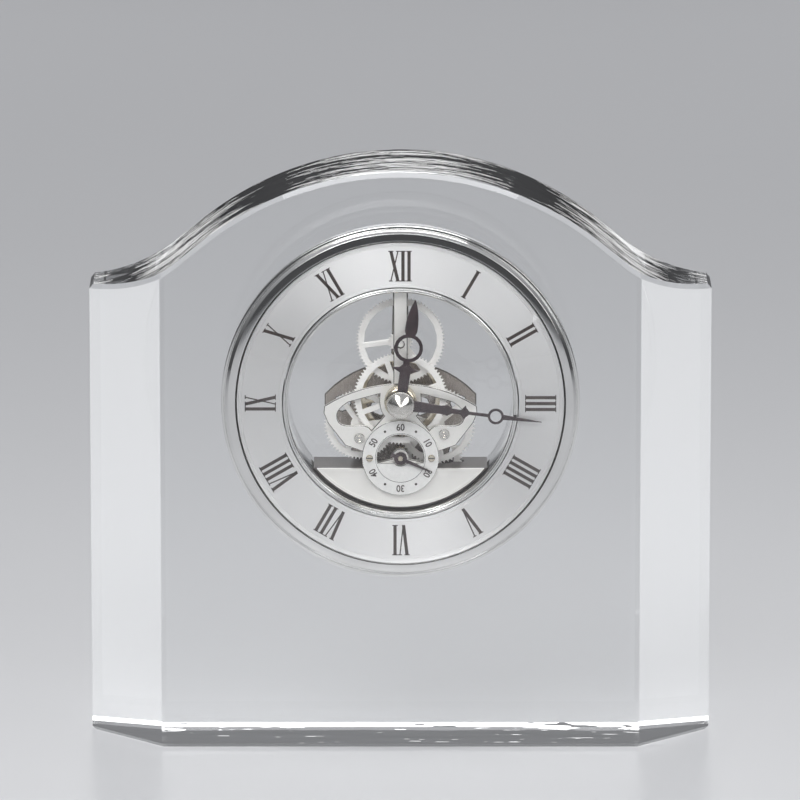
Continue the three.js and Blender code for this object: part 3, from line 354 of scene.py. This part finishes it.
def glass(name, tint, ior, streaks=False):
    """Clear glass. Lamps shine through it, so that what lies behind it is lit."""
    shade = 0.94
    material, tree, shader = nodes_of(name)
    shader.inputs["Base Color"].default_value = (*tint, 1)
    shader.inputs["Roughness"].default_value = 0
    shader.inputs["IOR"].default_value = ior
    shader.inputs["Transmission Weight"].default_value = 1
    if streaks:
        polish_streaks(tree, shader)
    path = add(tree, "ShaderNodeLightPath")
    clear = add(tree, "ShaderNodeBsdfTransparent")
    clear.inputs["Color"].default_value = (shade, shade, shade, 1)
    mix = add(tree, "ShaderNodeMixShader")
    link(tree, path.outputs["Is Shadow Ray"], mix.inputs["Fac"])
    link(tree, shader.outputs["BSDF"], mix.inputs[1])
    link(tree, clear.outputs["BSDF"], mix.inputs[2])
    link(tree, mix.outputs["Shader"], tree.nodes["Material Output"].inputs["Surface"])
    return material


def painted(name, dark, light, rough, metallic, grain, bump, coat=0.0):
    """A lacquer or plastic with a fine grain in its colour, gloss and surface."""
    material, tree, shader = nodes_of(name)
    shader.inputs["Metallic"].default_value = metallic
    shader.inputs["Coat Weight"].default_value = coat
    fine = noise(tree, grain, 4)
    link(tree, ramp(tree, fine, dark, light), shader.inputs["Base Color"])
    link(tree, spread(tree, fine, rough[0], rough[1]), shader.inputs["Roughness"])
    bumped(tree, shader, fine, bump, PAINT_GRAIN)
    return material


def frosted_glass():
    """The ground wall of the bored recess: pale and dull where the rest is polished."""
    material, tree, shader = nodes_of("ground_glass")
    fine = noise(tree, 1400, 4)
    shader.inputs["IOR"].default_value = CRYSTAL_IOR
    shader.inputs["Transmission Weight"].default_value = 0.45
    link(tree, ramp(tree, fine, (0.50, 0.51, 0.52), (0.66, 0.67, 0.68)), shader.inputs["Base Color"])
    link(tree, spread(tree, fine, 0.4, 0.6), shader.inputs["Roughness"])
    bumped(tree, shader, fine, 0.1, COARSE_GRAIN)
    return material


crystal = glass("optical_crystal", (0.985, 0.992, 0.995), CRYSTAL_IOR, streaks=True)
lens_glass = glass("lens_glass", (0.995, 0.997, 0.997), LENS_IOR)
chrome = metal("polished_chrome", (0.80, 0.80, 0.79), (0.88, 0.88, 0.87), (0.05, 0.09), 400, bump=0.01)
dial_silver = spun_metal("spun_silver", (0.76, 0.76, 0.765), (0.86, 0.86, 0.86), (0.42, 0.52), 0.75)
plate_silver = metal(
    "satin_nickel",
    (0.88, 0.87, 0.84),
    (0.94, 0.93, 0.90),
    (0.28, 0.36),
    grain=1500,
    stretch=(1, 1, 6),
    bump=0.02,
    metallic=0.6,
)
wheel_silver = metal(
    "wheel_nickel",
    (0.90, 0.885, 0.86),
    (0.96, 0.95, 0.93),
    (0.28, 0.4),
    grain=2500,
    bump=0.03,
    metallic=0.35,
)
# The rear bridge's steel: warm in hue, and painted darker than the front plates as shade behind them
shadow_steel = metal(
    "warm_painted_shade_steel",
    (0.42, 0.38, 0.36),
    (0.54, 0.50, 0.47),
    (0.2, 0.32),
    grain=1200,
    stretch=(8, 1, 1),
    metallic=0.9,
)
# Dark steel: painted shade on bevels and in screw slots, and the print of the seconds dial's fine ring
edge_shade_and_print_steel = metal("bevel_shade_and_print_steel", (0.26, 0.25, 0.24), (0.36, 0.35, 0.34), (0.12, 0.2), 1200, bump=0.02)
brass = metal("pale_brass", (0.70, 0.63, 0.50), (0.80, 0.73, 0.60), (0.12, 0.2), 700, bump=0.02)
nut_steel = metal("turned_steel", (0.70, 0.68, 0.64), (0.80, 0.78, 0.74), (0.06, 0.12), 900, bump=0.02)
hand_dark = painted(
    "dark_lacquer",
    (0.045, 0.035, 0.04),
    (0.08, 0.06, 0.065),
    (0.2, 0.3),
    metallic=0.5,
    grain=300,
    bump=0.01,
    coat=0.4,
)
ink = painted("numeral_ink", (0.035, 0.028, 0.028), (0.07, 0.055, 0.05), (0.3, 0.42), 0.1, 900, 0.05)
enamel = painted("pale_enamel", (0.74, 0.74, 0.73), (0.80, 0.80, 0.79), (0.32, 0.45), 0.3, 900, 0.04)
# The movement's housing: a dark case, painted near black also to stand for the dark reflection on its top
dark_case_and_painted_reflection = painted("dark_case_and_painted_reflection", (0.05, 0.042, 0.04), (0.085, 0.072, 0.068), (0.4, 0.55), 0.0, 400, 0.05)
grip = painted("soft_ring", (0.62, 0.63, 0.63), (0.72, 0.73, 0.73), (0.3, 0.45), 0.0, 300, 0.06)
grey_plastic = painted("grey_plastic", (0.25, 0.24, 0.23), (0.32, 0.31, 0.30), (0.45, 0.6), 0.0, 1200, 0.12)
ground_glass = frosted_glass()

PLAIN = {
    "plate_silver": plate_silver,
    "shadow_steel": shadow_steel,
    "wheel_silver": wheel_silver,
    "brass": brass,
    "enamel": enamel,
    "hand_dark": hand_dark,
    "grip_rubber": grip,
    "grey_plastic": grey_plastic,
    "chrome": chrome,
    "dial_silver": dial_silver,
    "clear_lens": lens_glass,
    "crystal": crystal,
}
for entry in frame["record"]["subparts"]:
    node = frame["nodes"][entry["node"]]
    for slot in node.material_slots:
        slot.material = dark_case_and_painted_reflection if entry["node"] == "movement_housing" else PLAIN[entry["material_slot"]]


# Crystal block: an outline of arcs, cut by two facets and a recess, with a polished bevel
def arc(centre, radius, start, end, steps):
    turn = (end - start) / steps
    return [
        (centre[0] + radius * math.cos(start + turn * i), centre[1] + radius * math.sin(start + turn * i))
        for i in range(steps + 1)
    ]


def wave_outline():
    """The front outline, anticlockwise from the lower left corner."""
    half = BLOCK_WIDTH / 2
    up = math.pi / 2
    arch_end_x = ARCH_RADIUS * math.sin(ARCH_ANGLE)
    arch_end_z = BLOCK_HEIGHT - ARCH_RADIUS * (1 - math.cos(ARCH_ANGLE))
    hollow_width = HOLLOW_RADIUS * (math.sin(ARCH_ANGLE) - math.sin(SHOULDER_ANGLE))
    slope_end = half - hollow_width
    slope_foot = arch_end_z - (slope_end - arch_end_x) * math.tan(ARCH_ANGLE)
    hollow_x = slope_end + HOLLOW_RADIUS * math.sin(ARCH_ANGLE)
    hollow_z = slope_foot + HOLLOW_RADIUS * math.cos(ARCH_ANGLE)
    right = arc((hollow_x, hollow_z), HOLLOW_RADIUS, -up - SHOULDER_ANGLE, -up - ARCH_ANGLE, 24)
    arch = arc((0, BLOCK_HEIGHT - ARCH_RADIUS), ARCH_RADIUS, up - ARCH_ANGLE, up + ARCH_ANGLE, 90)
    left = arc((-hollow_x, hollow_z), HOLLOW_RADIUS, -up + ARCH_ANGLE, -up + SHOULDER_ANGLE, 24)
    return [(-half, 0), (half, 0)] + right + arch + left


def prism(outline, low, high, axis="Y"):
    """A bmesh prism: its outline lies in XZ for axis Y, in XY for axis Z."""
    bm = bmesh.new()
    ends = []
    for level in (low, high):
        ring = []
        for a, b in outline:
            ring.append(bm.verts.new((a, level, b) if axis == "Y" else (a, b, level)))
        ends.append(ring)
        bm.faces.new(ring)
    for i in range(len(outline)):
        after = (i + 1) % len(outline)
        bm.faces.new((ends[0][i], ends[0][after], ends[1][after], ends[1][i]))
    bmesh.ops.recalc_face_normals(bm, faces=bm.faces)
    return bm


def loose_piece(bm, name):
    """A plain object made from a bmesh, to cut or to cut with."""
    mesh = bpy.data.meshes.new(name)
    bm.to_mesh(mesh)
    bm.free()
    piece = bpy.data.objects.new(name, mesh)
    bpy.context.scene.collection.objects.link(piece)
    return piece


def taken_up(piece):
    """A loose piece's mesh as a bmesh again. The piece itself goes."""
    bm = bmesh.new()
    bm.from_mesh(piece.data)
    bpy.data.objects.remove(piece)
    return bm


def subtract(piece, bm, name):
    """Cuts a closed bmesh out of a piece and applies the cut."""
    tool = loose_piece(bm, name)
    modifier = piece.modifiers.new(name, "BOOLEAN")
    modifier.operation = "DIFFERENCE"
    modifier.solver = "EXACT"
    modifier.object = tool
    bpy.context.view_layer.update()
    result = bpy.data.meshes.new_from_object(piece.evaluated_get(bpy.context.evaluated_depsgraph_get()))
    piece.modifiers.clear()
    piece.data = result
    bpy.data.objects.remove(tool)


def is_crisp(edge):
    """The vertical edges beside a facet stay sharp."""
    a, b = edge.verts
    upright = abs(a.co.x - b.co.x) < TINY and abs(a.co.y - b.co.y) < TINY
    behind = min(a.co.y, b.co.y) > BLOCK_DEPTH / 2 - NEAR
    return upright and not behind


def build_block():
    half = BLOCK_DEPTH / 2
    piece = loose_piece(prism(wave_outline(), -half, half), "block_blank")
    for side in (-1, 1):
        x = side * BLOCK_WIDTH / 2
        y = -half
        over = FACET_LEG / 2
        corner = [
            (x - side * (FACET_LEG + over), y - over),
            (x + side * over, y - over),
            (x + side * over, y + FACET_LEG + over),
        ]
        subtract(piece, prism(corner, -OVERCUT, BLOCK_HEIGHT + OVERCUT, "Z"), "facet_tool")
    bm = taken_up(piece)
    bmesh.ops.dissolve_limit(bm, angle_limit=math.radians(0.1), verts=bm.verts, edges=bm.edges)
    edges = [e for e in bm.edges if e.calc_face_angle(0) > math.radians(25) and not is_crisp(e)]
    bmesh.ops.bevel(bm, geom=edges, offset=EDGE_BEVEL, segments=1, affect="EDGES", profile=0.5)
    piece = loose_piece(bm, "block_cut")
    floor_depth = DIAL_PROUD + RECESS_DEPTH
    tool = lathe([(0, -1), (RECESS_RADIUS, -1), (RECESS_RADIUS, floor_depth), (0, floor_depth)])
    tool.transform(Matrix.Scale(1 / MM, 4) @ INSERT)
    bmesh.ops.recalc_face_normals(tool, faces=tool.faces)
    subtract(piece, tool, "recess_tool")
    bm = taken_up(piece)
    for face in bm.faces:
        middle = face.calc_center_median()
        reach = math.hypot(middle.x, middle.z - DIAL_HEIGHT)
        face.material_index = int(abs(reach - RECESS_RADIUS) < NEAR and abs(face.normal.y) < NEAR)
    return finished(bm, "crystal_body", 22, Matrix.Scale(MM, 4))


new_piece("crystal_body", build_block(), CASE, [crystal, ground_glass], ["crystal_block"])


# Fine round pieces over the insert's plain ones
def round_piece(name, section, material, replaced, soften, steps=ROUND_STEPS, axis=(0, 0)):
    shape = rounded(section, soften) if soften else section
    mesh = finished(lathe(shape, steps), name, 40, INSERT @ Matrix.Translation((*axis, 0)))
    new_piece(name, mesh, CASE, [material], [replaced])


# The bezel's flat flange, its groove, a steep band, a shallow inner cone and the rim over the dial
bezel = [
    (CAN_RADIUS + 0.3, BEZEL_BACK),
    (BEZEL_RADIUS, BEZEL_BACK),
    (BEZEL_RADIUS, 1.65),
    (BEZEL_RADIUS - 0.12, 1.5),
    (BEZEL_RADIUS - 0.7, 1.38),
    (BEZEL_RADIUS - 0.8, 1.6),
    (BEZEL_RADIUS - 1, 1.6),
    (BEZEL_RADIUS - 1.05, 0.5),
    (CAN_RADIUS + 1.5, -0.24),
    (CAN_RADIUS + 0.3, -0.45),
    (CAN_RADIUS - 0.5, -0.58),
    (DIAL_RADIUS + 0.35, -0.5),
    (DIAL_RADIUS + 0.3, -0.2),
    (DIAL_RADIUS + 0.3, DIAL_THICKNESS),
    (CAN_RADIUS + 0.3, DIAL_THICKNESS),
]
round_piece("bezel_ring", bezel, chrome, "bezel", 0.06)

can = [
    (CAN_RADIUS - CAN_WALL, CAN_FRONT),
    (CAN_RADIUS - CAN_WALL, CAN_BACK - CAN_WALL),
    (LIP_OUTER - 0.2, CAN_BACK - CAN_WALL),
    (LIP_OUTER - 0.2, CAN_BACK),
    (CAN_RADIUS, CAN_BACK),
    (CAN_RADIUS, CAN_FRONT),
]
round_piece("case_shell", can, chrome, "case_can", 0.3)

tube = [
    (OPENING_RADIUS, CAN_FRONT),
    (OPENING_RADIUS, CAN_BACK),
    (OPENING_RADIUS + CAN_WALL, CAN_BACK),
    (OPENING_RADIUS + CAN_WALL, CAN_FRONT),
]
round_piece("opening_tube", tube, chrome, "inner_tube", 0.15)


def ribbed_ring():
    """The grip ring: soft ribs round a band."""
    inner = CAN_RADIUS + GRIP_GAP
    outer = RECESS_RADIUS - GRIP_GAP
    band = 0.5
    width = GRIP_WIDTH / GRIP_RIBS
    section = [(inner, GRIP_FRONT), (inner, GRIP_FRONT + GRIP_RIBS * width)]
    for rib in reversed(range(GRIP_RIBS)):
        for share in (0.95, 0.7, 0.5, 0.3, 0.05):
            bulge = math.sin(math.pi * share)
            radius = inner + band + (outer - inner - band) * bulge
            section.append((radius, GRIP_FRONT + (rib + share) * width))
    return section


round_piece("soft_grip", ribbed_ring(), grip, "grip_ring", 0)


def dial_section():
    """The dial's flat ring, with a fine groove near each edge."""
    inner = LIP_OUTER + 0.3
    section = [(inner, DIAL_THICKNESS), (inner, 0)]
    for middle in (inner + 0.9, DIAL_RADIUS - 1.3):
        section += [(middle - 0.14, 0), (middle - 0.06, DIAL_GROOVE)]
        section += [(middle + 0.06, DIAL_GROOVE), (middle + 0.14, 0)]
    section += [(DIAL_RADIUS, 0), (DIAL_RADIUS, DIAL_THICKNESS)]
    return section


round_piece("dial_face", dial_section(), dial_silver, "dial_ring", 0)

lip = [
    (OPENING_RADIUS, DIAL_THICKNESS),
    (OPENING_RADIUS, -0.1),
    (OPENING_RADIUS + 0.3, -0.35),
    (OPENING_RADIUS + 0.55, -0.3),
    (OPENING_RADIUS + 0.65, -0.05),
    (OPENING_RADIUS + 0.75, -0.28),
    (LIP_OUTER - 0.3, -0.32),
    (LIP_OUTER, -0.1),
    (LIP_OUTER, DIAL_THICKNESS),
]
round_piece("dial_lip_ring", lip, chrome, "dial_lip", 0.08)


def lens_section():
    """A low dome with an even wall over the whole dial."""
    rim = DIAL_RADIUS - 0.1
    steps = 24
    shares = [i / steps for i in range(steps + 1)]
    inner = [(rim * s, -LENS_SEAT - LENS_RISE * (1 - s * s)) for s in shares]
    outer = [(rim * s, -LENS_SEAT - LENS_THICKNESS - LENS_RISE * (1 - s * s)) for s in reversed(shares)]
    return inner + outer


round_piece("domed_lens", lens_section(), lens_glass, "front_lens", 0, steps=128)

# The cup round the hands' arbor
boss = [(2.5, 4.1), (4.6, 4.1), (4.6, 1.5), (4.3, 0.75), (3.7, 0.42), (2.9, 0.5), (2.5, 0.7)]
round_piece("boss_cup", boss, brass, "centre_boss", 0.25, steps=96)


def screw_section(node, head, shank, profile):
    """A screw's section: its head's profile in shares of the head, then the node's own shank."""
    low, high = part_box(node)
    front = low[1] / MM - DIAL_FACE
    back = high[1] / MM - DIAL_FACE
    under = front + SCREW_HEAD_THICKNESS
    section = [(head * share, front + drop) for share, drop in profile]
    return front, section + [(head, under), (shank, under), (shank, back), (0, back)]


def turned_screw(node, axis):
    """A bridge screw whose head has a sunk ring round a low button."""
    ring = 0.3
    profile = [(0, ring), (0.2, ring), (0.24, 0.03), (0.42, 0.01), (0.46, ring), (0.62, ring)]
    profile += [(0.66, 0.01), (0.92, 0), (1, 0.1)]
    section = screw_section(node, BRIDGE_SCREW_HEAD, BRIDGE_SCREW_SHANK, profile)[1]
    round_piece(node + "_turned", section, nut_steel, node, 0, SCREW_SIDES, axis)


def slotted_screw(node, x):
    """A dial screw with a flat, bevelled head and a level slot, beside the seconds dial's axis."""
    head = DIAL_SCREW_HEAD
    profile = [(0, 0), (0.84, 0), (1, 0.14)]
    front, section = screw_section(node, head, DIAL_SCREW_SHANK, profile)
    bm = lathe(section, SCREW_SIDES)
    bmesh.ops.recalc_face_normals(bm, faces=bm.faces)
    piece = loose_piece(bm, "screw_blank")
    half = SLOT_HALF_WIDTH
    slot = [(-head - 1, -half), (head + 1, -half), (head + 1, half), (-head - 1, half)]
    subtract(piece, prism(slot, -front - SLOT_DEPTH, -front + 1, "Z"), "slot_tool")
    bm = taken_up(piece)
    for face in bm.faces:
        # Faces in the slot take the dark steel, as painted shade down in the slot
        middle = face.calc_center_median()
        in_slot = abs(middle.y) < half + 0.01 and abs(middle.x) < head / 2
        face.material_index = int(in_slot and middle.z > -front - SLOT_DEPTH - 0.01)
    place = INSERT @ Matrix.Translation((x, SECONDS_CENTRE, 0))
    mesh = finished(bm, node + "_slotted", 30, place)
    new_piece(node + "_slotted", mesh, CASE, [brass, edge_shade_and_print_steel], [node])


for side, axis in BRIDGE_SCREWS.items():
    turned_screw("bridge_screw_" + side, axis)
slotted_screw("dial_screw_left", -DIAL_SCREW_OFFSET)
slotted_screw("dial_screw_right", DIAL_SCREW_OFFSET)


def nut_section():
    """A polished cone on a finely knurled rim, with a socket for the arbor."""
    socket = [(0, -3.7), (0.95, -3.7), (0.95, -2.05)]
    knurled = [(3.95, -2.2, KNURL_SWING), (3.95, -2.8, KNURL_SWING)]
    rim = [(3.6, -2.05), *knurled, (3.7, -2.95), (3.55, -2.95)]
    cone = [(3.5 * (1 - share), -3.0 - 2.2 * share ** 0.92) for share in (0, 0.25, 0.5, 0.75, 0.9, 0.97)]
    return socket + rim + cone + [(0, NUT_TIP)]


nut = finished(lathe(nut_section(), KNURLS * 4), "knurled_nut", 20, INSERT)
new_piece("knurled_nut", nut, "minute", [nut_steel], ["hand_nut"])


# Plates, wheels and hands with polished bevels along their front edges
def bevelled(node, body, width, face_metal, edge_metal):
    """A node's own shape with its front edges cut back to a narrow bevel, this wide in mm."""
    bm = bmesh.new()
    bm.from_mesh(frame["nodes"][node].data)
    bmesh.ops.remove_doubles(bm, verts=bm.verts, dist=TINY * MM)
    bmesh.ops.dissolve_limit(bm, angle_limit=math.radians(1), verts=bm.verts, edges=bm.edges)
    for face in bm.faces:
        face.material_index = 0
    edges = []
    for edge in bm.edges:
        sharp = edge.is_manifold and edge.calc_face_angle(0) >= math.radians(60)
        if sharp and min(face.normal.y for face in edge.link_faces) < -0.9:
            edges.append(edge)
    bmesh.ops.bevel(
        bm,
        geom=edges,
        offset=width * MM,
        segments=1,
        affect="EDGES",
        profile=0.5,
        clamp_overlap=False,
        material=1,
    )
    mesh = finished(bm, node + "_bevelled", 20)
    new_piece(node + "_bevelled", mesh, body, [face_metal, edge_metal], [node])


# The dark steel on these bevels is painted shade that outlines the edges
bevelled("front_bridge", CASE, 0.2, plate_silver, edge_shade_and_print_steel)
bevelled("rear_bridge", CASE, 0.25, shadow_steel, edge_shade_and_print_steel)
bevelled("post_bar", CASE, 0.25, plate_silver, edge_shade_and_print_steel)
bevelled("seconds_dial", CASE, 0.11, enamel, edge_shade_and_print_steel)
bevelled("hour_hand", "hour", 0.1, hand_dark, hand_dark)
bevelled("minute_hand", "minute", 0.1, hand_dark, hand_dark)
for node, body in (
    ("minute_wheel", "minute_train"),
    ("hour_wheel", "hour"),
    ("setting_wheel", "setting"),
    ("third_wheel", "third"),
    ("drive_wheel", "drive"),
):
    bevelled(node, body, 0.06, wheel_silver, wheel_silver)
# The dark steel on this wheel's bevel is painted shade along its edge
bevelled("centre_wheel", "minute", 0.1, brass, edge_shade_and_print_steel)


def seconds_track():
    """The fine ring printed inside the seconds numbers."""
    inner = SECONDS_TRACK_RADIUS - SECONDS_TRACK_HALF_WIDTH
    outer = SECONDS_TRACK_RADIUS + SECONDS_TRACK_HALF_WIDTH
    back = SECONDS_DIAL_FRONT
    front = back - SECONDS_TRACK_RELIEF
    section = [(inner, back), (inner, front), (outer, front), (outer, back)]
    place = INSERT @ Matrix.Translation((0, SECONDS_CENTRE, 0))
    return finished(lathe(section, 96), "seconds_track", 40, place)


new_piece("seconds_track", seconds_track(), CASE, [edge_shade_and_print_steel])


# Numerals
def stroke(bm, points, low, high, matrix):
    """A thin plate with these corners, placed by a matrix."""
    rings = []
    for level in (low, high):
        rings.append([bm.verts.new(matrix @ Vector((x, y, level))) for x, y in points])
    bm.faces.new(rings[1])
    bm.faces.new(reversed(rings[0]))
    for i in range(len(points)):
        after = (i + 1) % len(points)
        bm.faces.new((rings[0][i], rings[0][after], rings[1][after], rings[1][i]))


# Widths of strokes and serifs, and the room that each letter takes, in mm
THICK = 0.92
THIN = 0.34
SERIF = 0.26
WIDE_SERIF = 1.5
NARROW_SERIF = 1.1
STEM_SERIF = 1.55
LETTER_REACH = 1.02
STEP = {"I": 1.72, "V": 3.1, "X": 3.1}


def bar(x_low, x_high, width):
    """A straight stroke from the letter's foot to its head, level at both ends."""
    return [
        (x_low - width / 2, 0),
        (x_low + width / 2, 0),
        (x_high + width / 2, NUMERAL_HEIGHT),
        (x_high - width / 2, NUMERAL_HEIGHT),
    ]


def serif(x, y, width):
    left = x - width / 2
    right = x + width / 2
    return [(left, y), (right, y), (right, y + SERIF), (left, y + SERIF)]


def glyph(letter, x):
    """The strokes of one letter whose middle is at x."""
    top = NUMERAL_HEIGHT - SERIF
    if letter == "I":
        return [bar(x, x, THICK), serif(x, 0, STEM_SERIF), serif(x, top, STEM_SERIF)]
    left = x - LETTER_REACH
    right = x + LETTER_REACH
    upper = [serif(left, top, WIDE_SERIF), serif(right, top, NARROW_SERIF)]
    if letter == "V":
        return [bar(x, left, THICK), bar(x + 0.1, right, THIN)] + upper
    lower = [serif(right, 0, WIDE_SERIF), serif(left, 0, NARROW_SERIF)]
    return [bar(right, left, THICK), bar(left, right, THIN)] + upper + lower


def numeral_ring():
    names = ["XII", "I", "II", "III", "IIII", "V", "VI", "VII", "VIII", "IX", "X", "XI"]
    bm = bmesh.new()
    for hour, name in enumerate(names):
        turn = Matrix.Rotation(-math.radians(30 * hour), 4, "Z") @ Matrix.Translation((0, NUMERAL_FOOT, 0))
        width = sum(STEP[letter] for letter in name)
        x = -width / 2
        for letter in name:
            for points in glyph(letter, x + STEP[letter] / 2):
                stroke(bm, points, NUMERAL_LIFT, NUMERAL_RELIEF, turn)
            x += STEP[letter]
    return finished(bm, "hour_numerals", 30, INSERT)


new_piece("hour_numerals", numeral_ring(), CASE, [ink])


def seconds_numbers():
    """Numbers every ten seconds and dots at four of the fives, on the seconds dial."""
    bm = bmesh.new()
    centre = Matrix.Translation((0, SECONDS_CENTRE, -SECONDS_DIAL_FRONT))
    for index, body in enumerate(["60", "10", "20", "30", "40", "50"]):
        curve = bpy.data.curves.new("number_" + body, "FONT")
        curve.body = body
        curve.size = SECONDS_NUMBER_SIZE
        curve.offset = SECONDS_NUMBER_BOLDNESS
        curve.align_x = "CENTER"
        curve.align_y = "CENTER"
        curve.extrude = SECONDS_NUMBER_RELIEF / 2
        writer = bpy.data.objects.new("number_" + body, curve)
        bpy.context.scene.collection.objects.link(writer)
        bpy.context.view_layer.update()
        mesh = bpy.data.meshes.new_from_object(writer.evaluated_get(bpy.context.evaluated_depsgraph_get()))
        turn = Matrix.Rotation(-math.radians(60 * index), 4, "Z")
        lift = Matrix.Translation((0, SECONDS_NUMBER_RADIUS, SECONDS_NUMBER_RELIEF / 2))
        narrow = Matrix.Diagonal((SECONDS_NUMBER_SQUEEZE, 1, 1, 1))
        mesh.transform(centre @ turn @ lift @ narrow)
        bm.from_mesh(mesh)
        bpy.data.objects.remove(writer)
    for second in (5, 25, 35, 55):
        turn = Matrix.Rotation(-math.radians(6 * second), 4, "Z")
        spot = centre @ turn @ Matrix.Translation((0, SECONDS_NUMBER_RADIUS, 0))
        dot = arc((0, 0), SECONDS_DOT_RADIUS, 0, 2 * math.pi * 15 / 16, 15)
        stroke(bm, dot, 0.0, SECONDS_NUMBER_RELIEF, spot)
    bmesh.ops.remove_doubles(bm, verts=bm.verts, dist=TINY / 10)
    return finished(bm, "seconds_numbers", 30, INSERT)


new_piece("seconds_numbers", seconds_numbers(), CASE, [ink])


# Floor, light and camera
def stage_material(name, colour):
    material, tree, shader = nodes_of(name)
    shader.inputs["Roughness"].default_value = 0.3
    faint = noise(tree, 3, 2)
    light = tuple(min(1, c * 1.01) for c in colour)
    link(tree, ramp(tree, faint, colour, light), shader.inputs["Base Color"])
    return material


FLOOR_HALF_WIDTH = 6
FLOOR_GAP = 0.2
bm = bmesh.new()
bmesh.ops.create_grid(bm, x_segments=4, y_segments=4, size=FLOOR_HALF_WIDTH)
floor = loose_piece(bm, "floor")
floor.location.z = -FLOOR_GAP * MM
floor.data.materials.append(stage_material("pale_floor", (0.53, 0.535, 0.55)))

scene = bpy.context.scene
scene.view_settings.view_transform = "Standard"


def studio_world():
    """A plain room that is paler overhead and behind than in front."""
    world = bpy.data.worlds.new("studio")
    world.use_nodes = True
    tree = world.node_tree
    background = tree.nodes["Background"]
    background.inputs["Strength"].default_value = 1
    place = add(tree, "ShaderNodeTexCoord")
    lean = add(tree, "ShaderNodeVectorMath", operation="DOT_PRODUCT")
    lean.inputs[1].default_value = (0, 0.1, 1)
    link(tree, place.outputs["Generated"], lean.inputs[0])
    dim = (0.07, 0.071, 0.075)
    pale = (0.42, 0.425, 0.44)
    colour = ramp(tree, lean.outputs["Value"], dim, pale, 0.1, 0.75)
    link(tree, colour, background.inputs["Color"])
    return world


scene.world = studio_world()


def softbox(name, place, target, width, height, radiance, through_glass=True):
    """A soft panel whose face has this radiance, 1 being white. The camera doesn't see it."""
    data = bpy.data.lights.new(name, "AREA")
    data.shape = "RECTANGLE"
    data.size = width
    data.size_y = height
    data.energy = radiance * math.pi * width * height
    lamp = bpy.data.objects.new(name, data)
    lamp.location = place
    lamp.rotation_euler = (Vector(target) - Vector(place)).to_track_quat("-Z", "Y").to_euler()
    lamp.visible_camera = False
    lamp.visible_transmission = through_glass
    scene.collection.objects.link(lamp)


# Places in metres. The side panels light the facets only by way of the floor
MIDDLE = (0, 0, 0.085)
softbox("key", (-0.7, -1.3, 1.5), MIDDLE, 0.9, 0.9, 4.0)
softbox("fill", (1.1, -1.1, 0.8), MIDDLE, 0.8, 1.0, 2.4)
softbox("above", (0.0, -0.1, 1.5), MIDDLE, 1.4, 0.5, 3.6)
softbox("front_high", (0.0, -1.25, 1.05), MIDDLE, 1.0, 0.35, 5.5)
softbox("behind", (0.0, 1.45, 0.62), (0, 0, 0.2), 0.56, 0.36, 2.0)
for side in (-1, 1):
    softbox("behind_side", (side * 0.64, 1.45, 0.36), MIDDLE, 0.62, 0.5, 1.5, through_glass=False)
    softbox("behind_corner", (side * 0.72, 1.43, 0.59), MIDDLE, 0.4, 0.12, 2.0)

CAMERA_PITCH = math.radians(12.3)
CAMERA_DISTANCE = 2.5
PIXELS_PER_MM = 3.489
FRAME_PIXELS = 800
SENSOR_WIDTH = 36
AIM = Vector((-0.00014, 0, 0.0979))
camera_data = bpy.data.cameras.new("camera")
camera_data.sensor_width = SENSOR_WIDTH
camera_data.lens = PIXELS_PER_MM * SENSOR_WIDTH / FRAME_PIXELS * CAMERA_DISTANCE / MM
camera_data.clip_end = 100
camera = bpy.data.objects.new("camera", camera_data)
camera.location = AIM + Vector((0, -math.cos(CAMERA_PITCH), math.sin(CAMERA_PITCH))) * CAMERA_DISTANCE
camera.rotation_euler = (math.pi / 2 - CAMERA_PITCH, 0, 0)
scene.collection.objects.link(camera)
scene.camera = camera
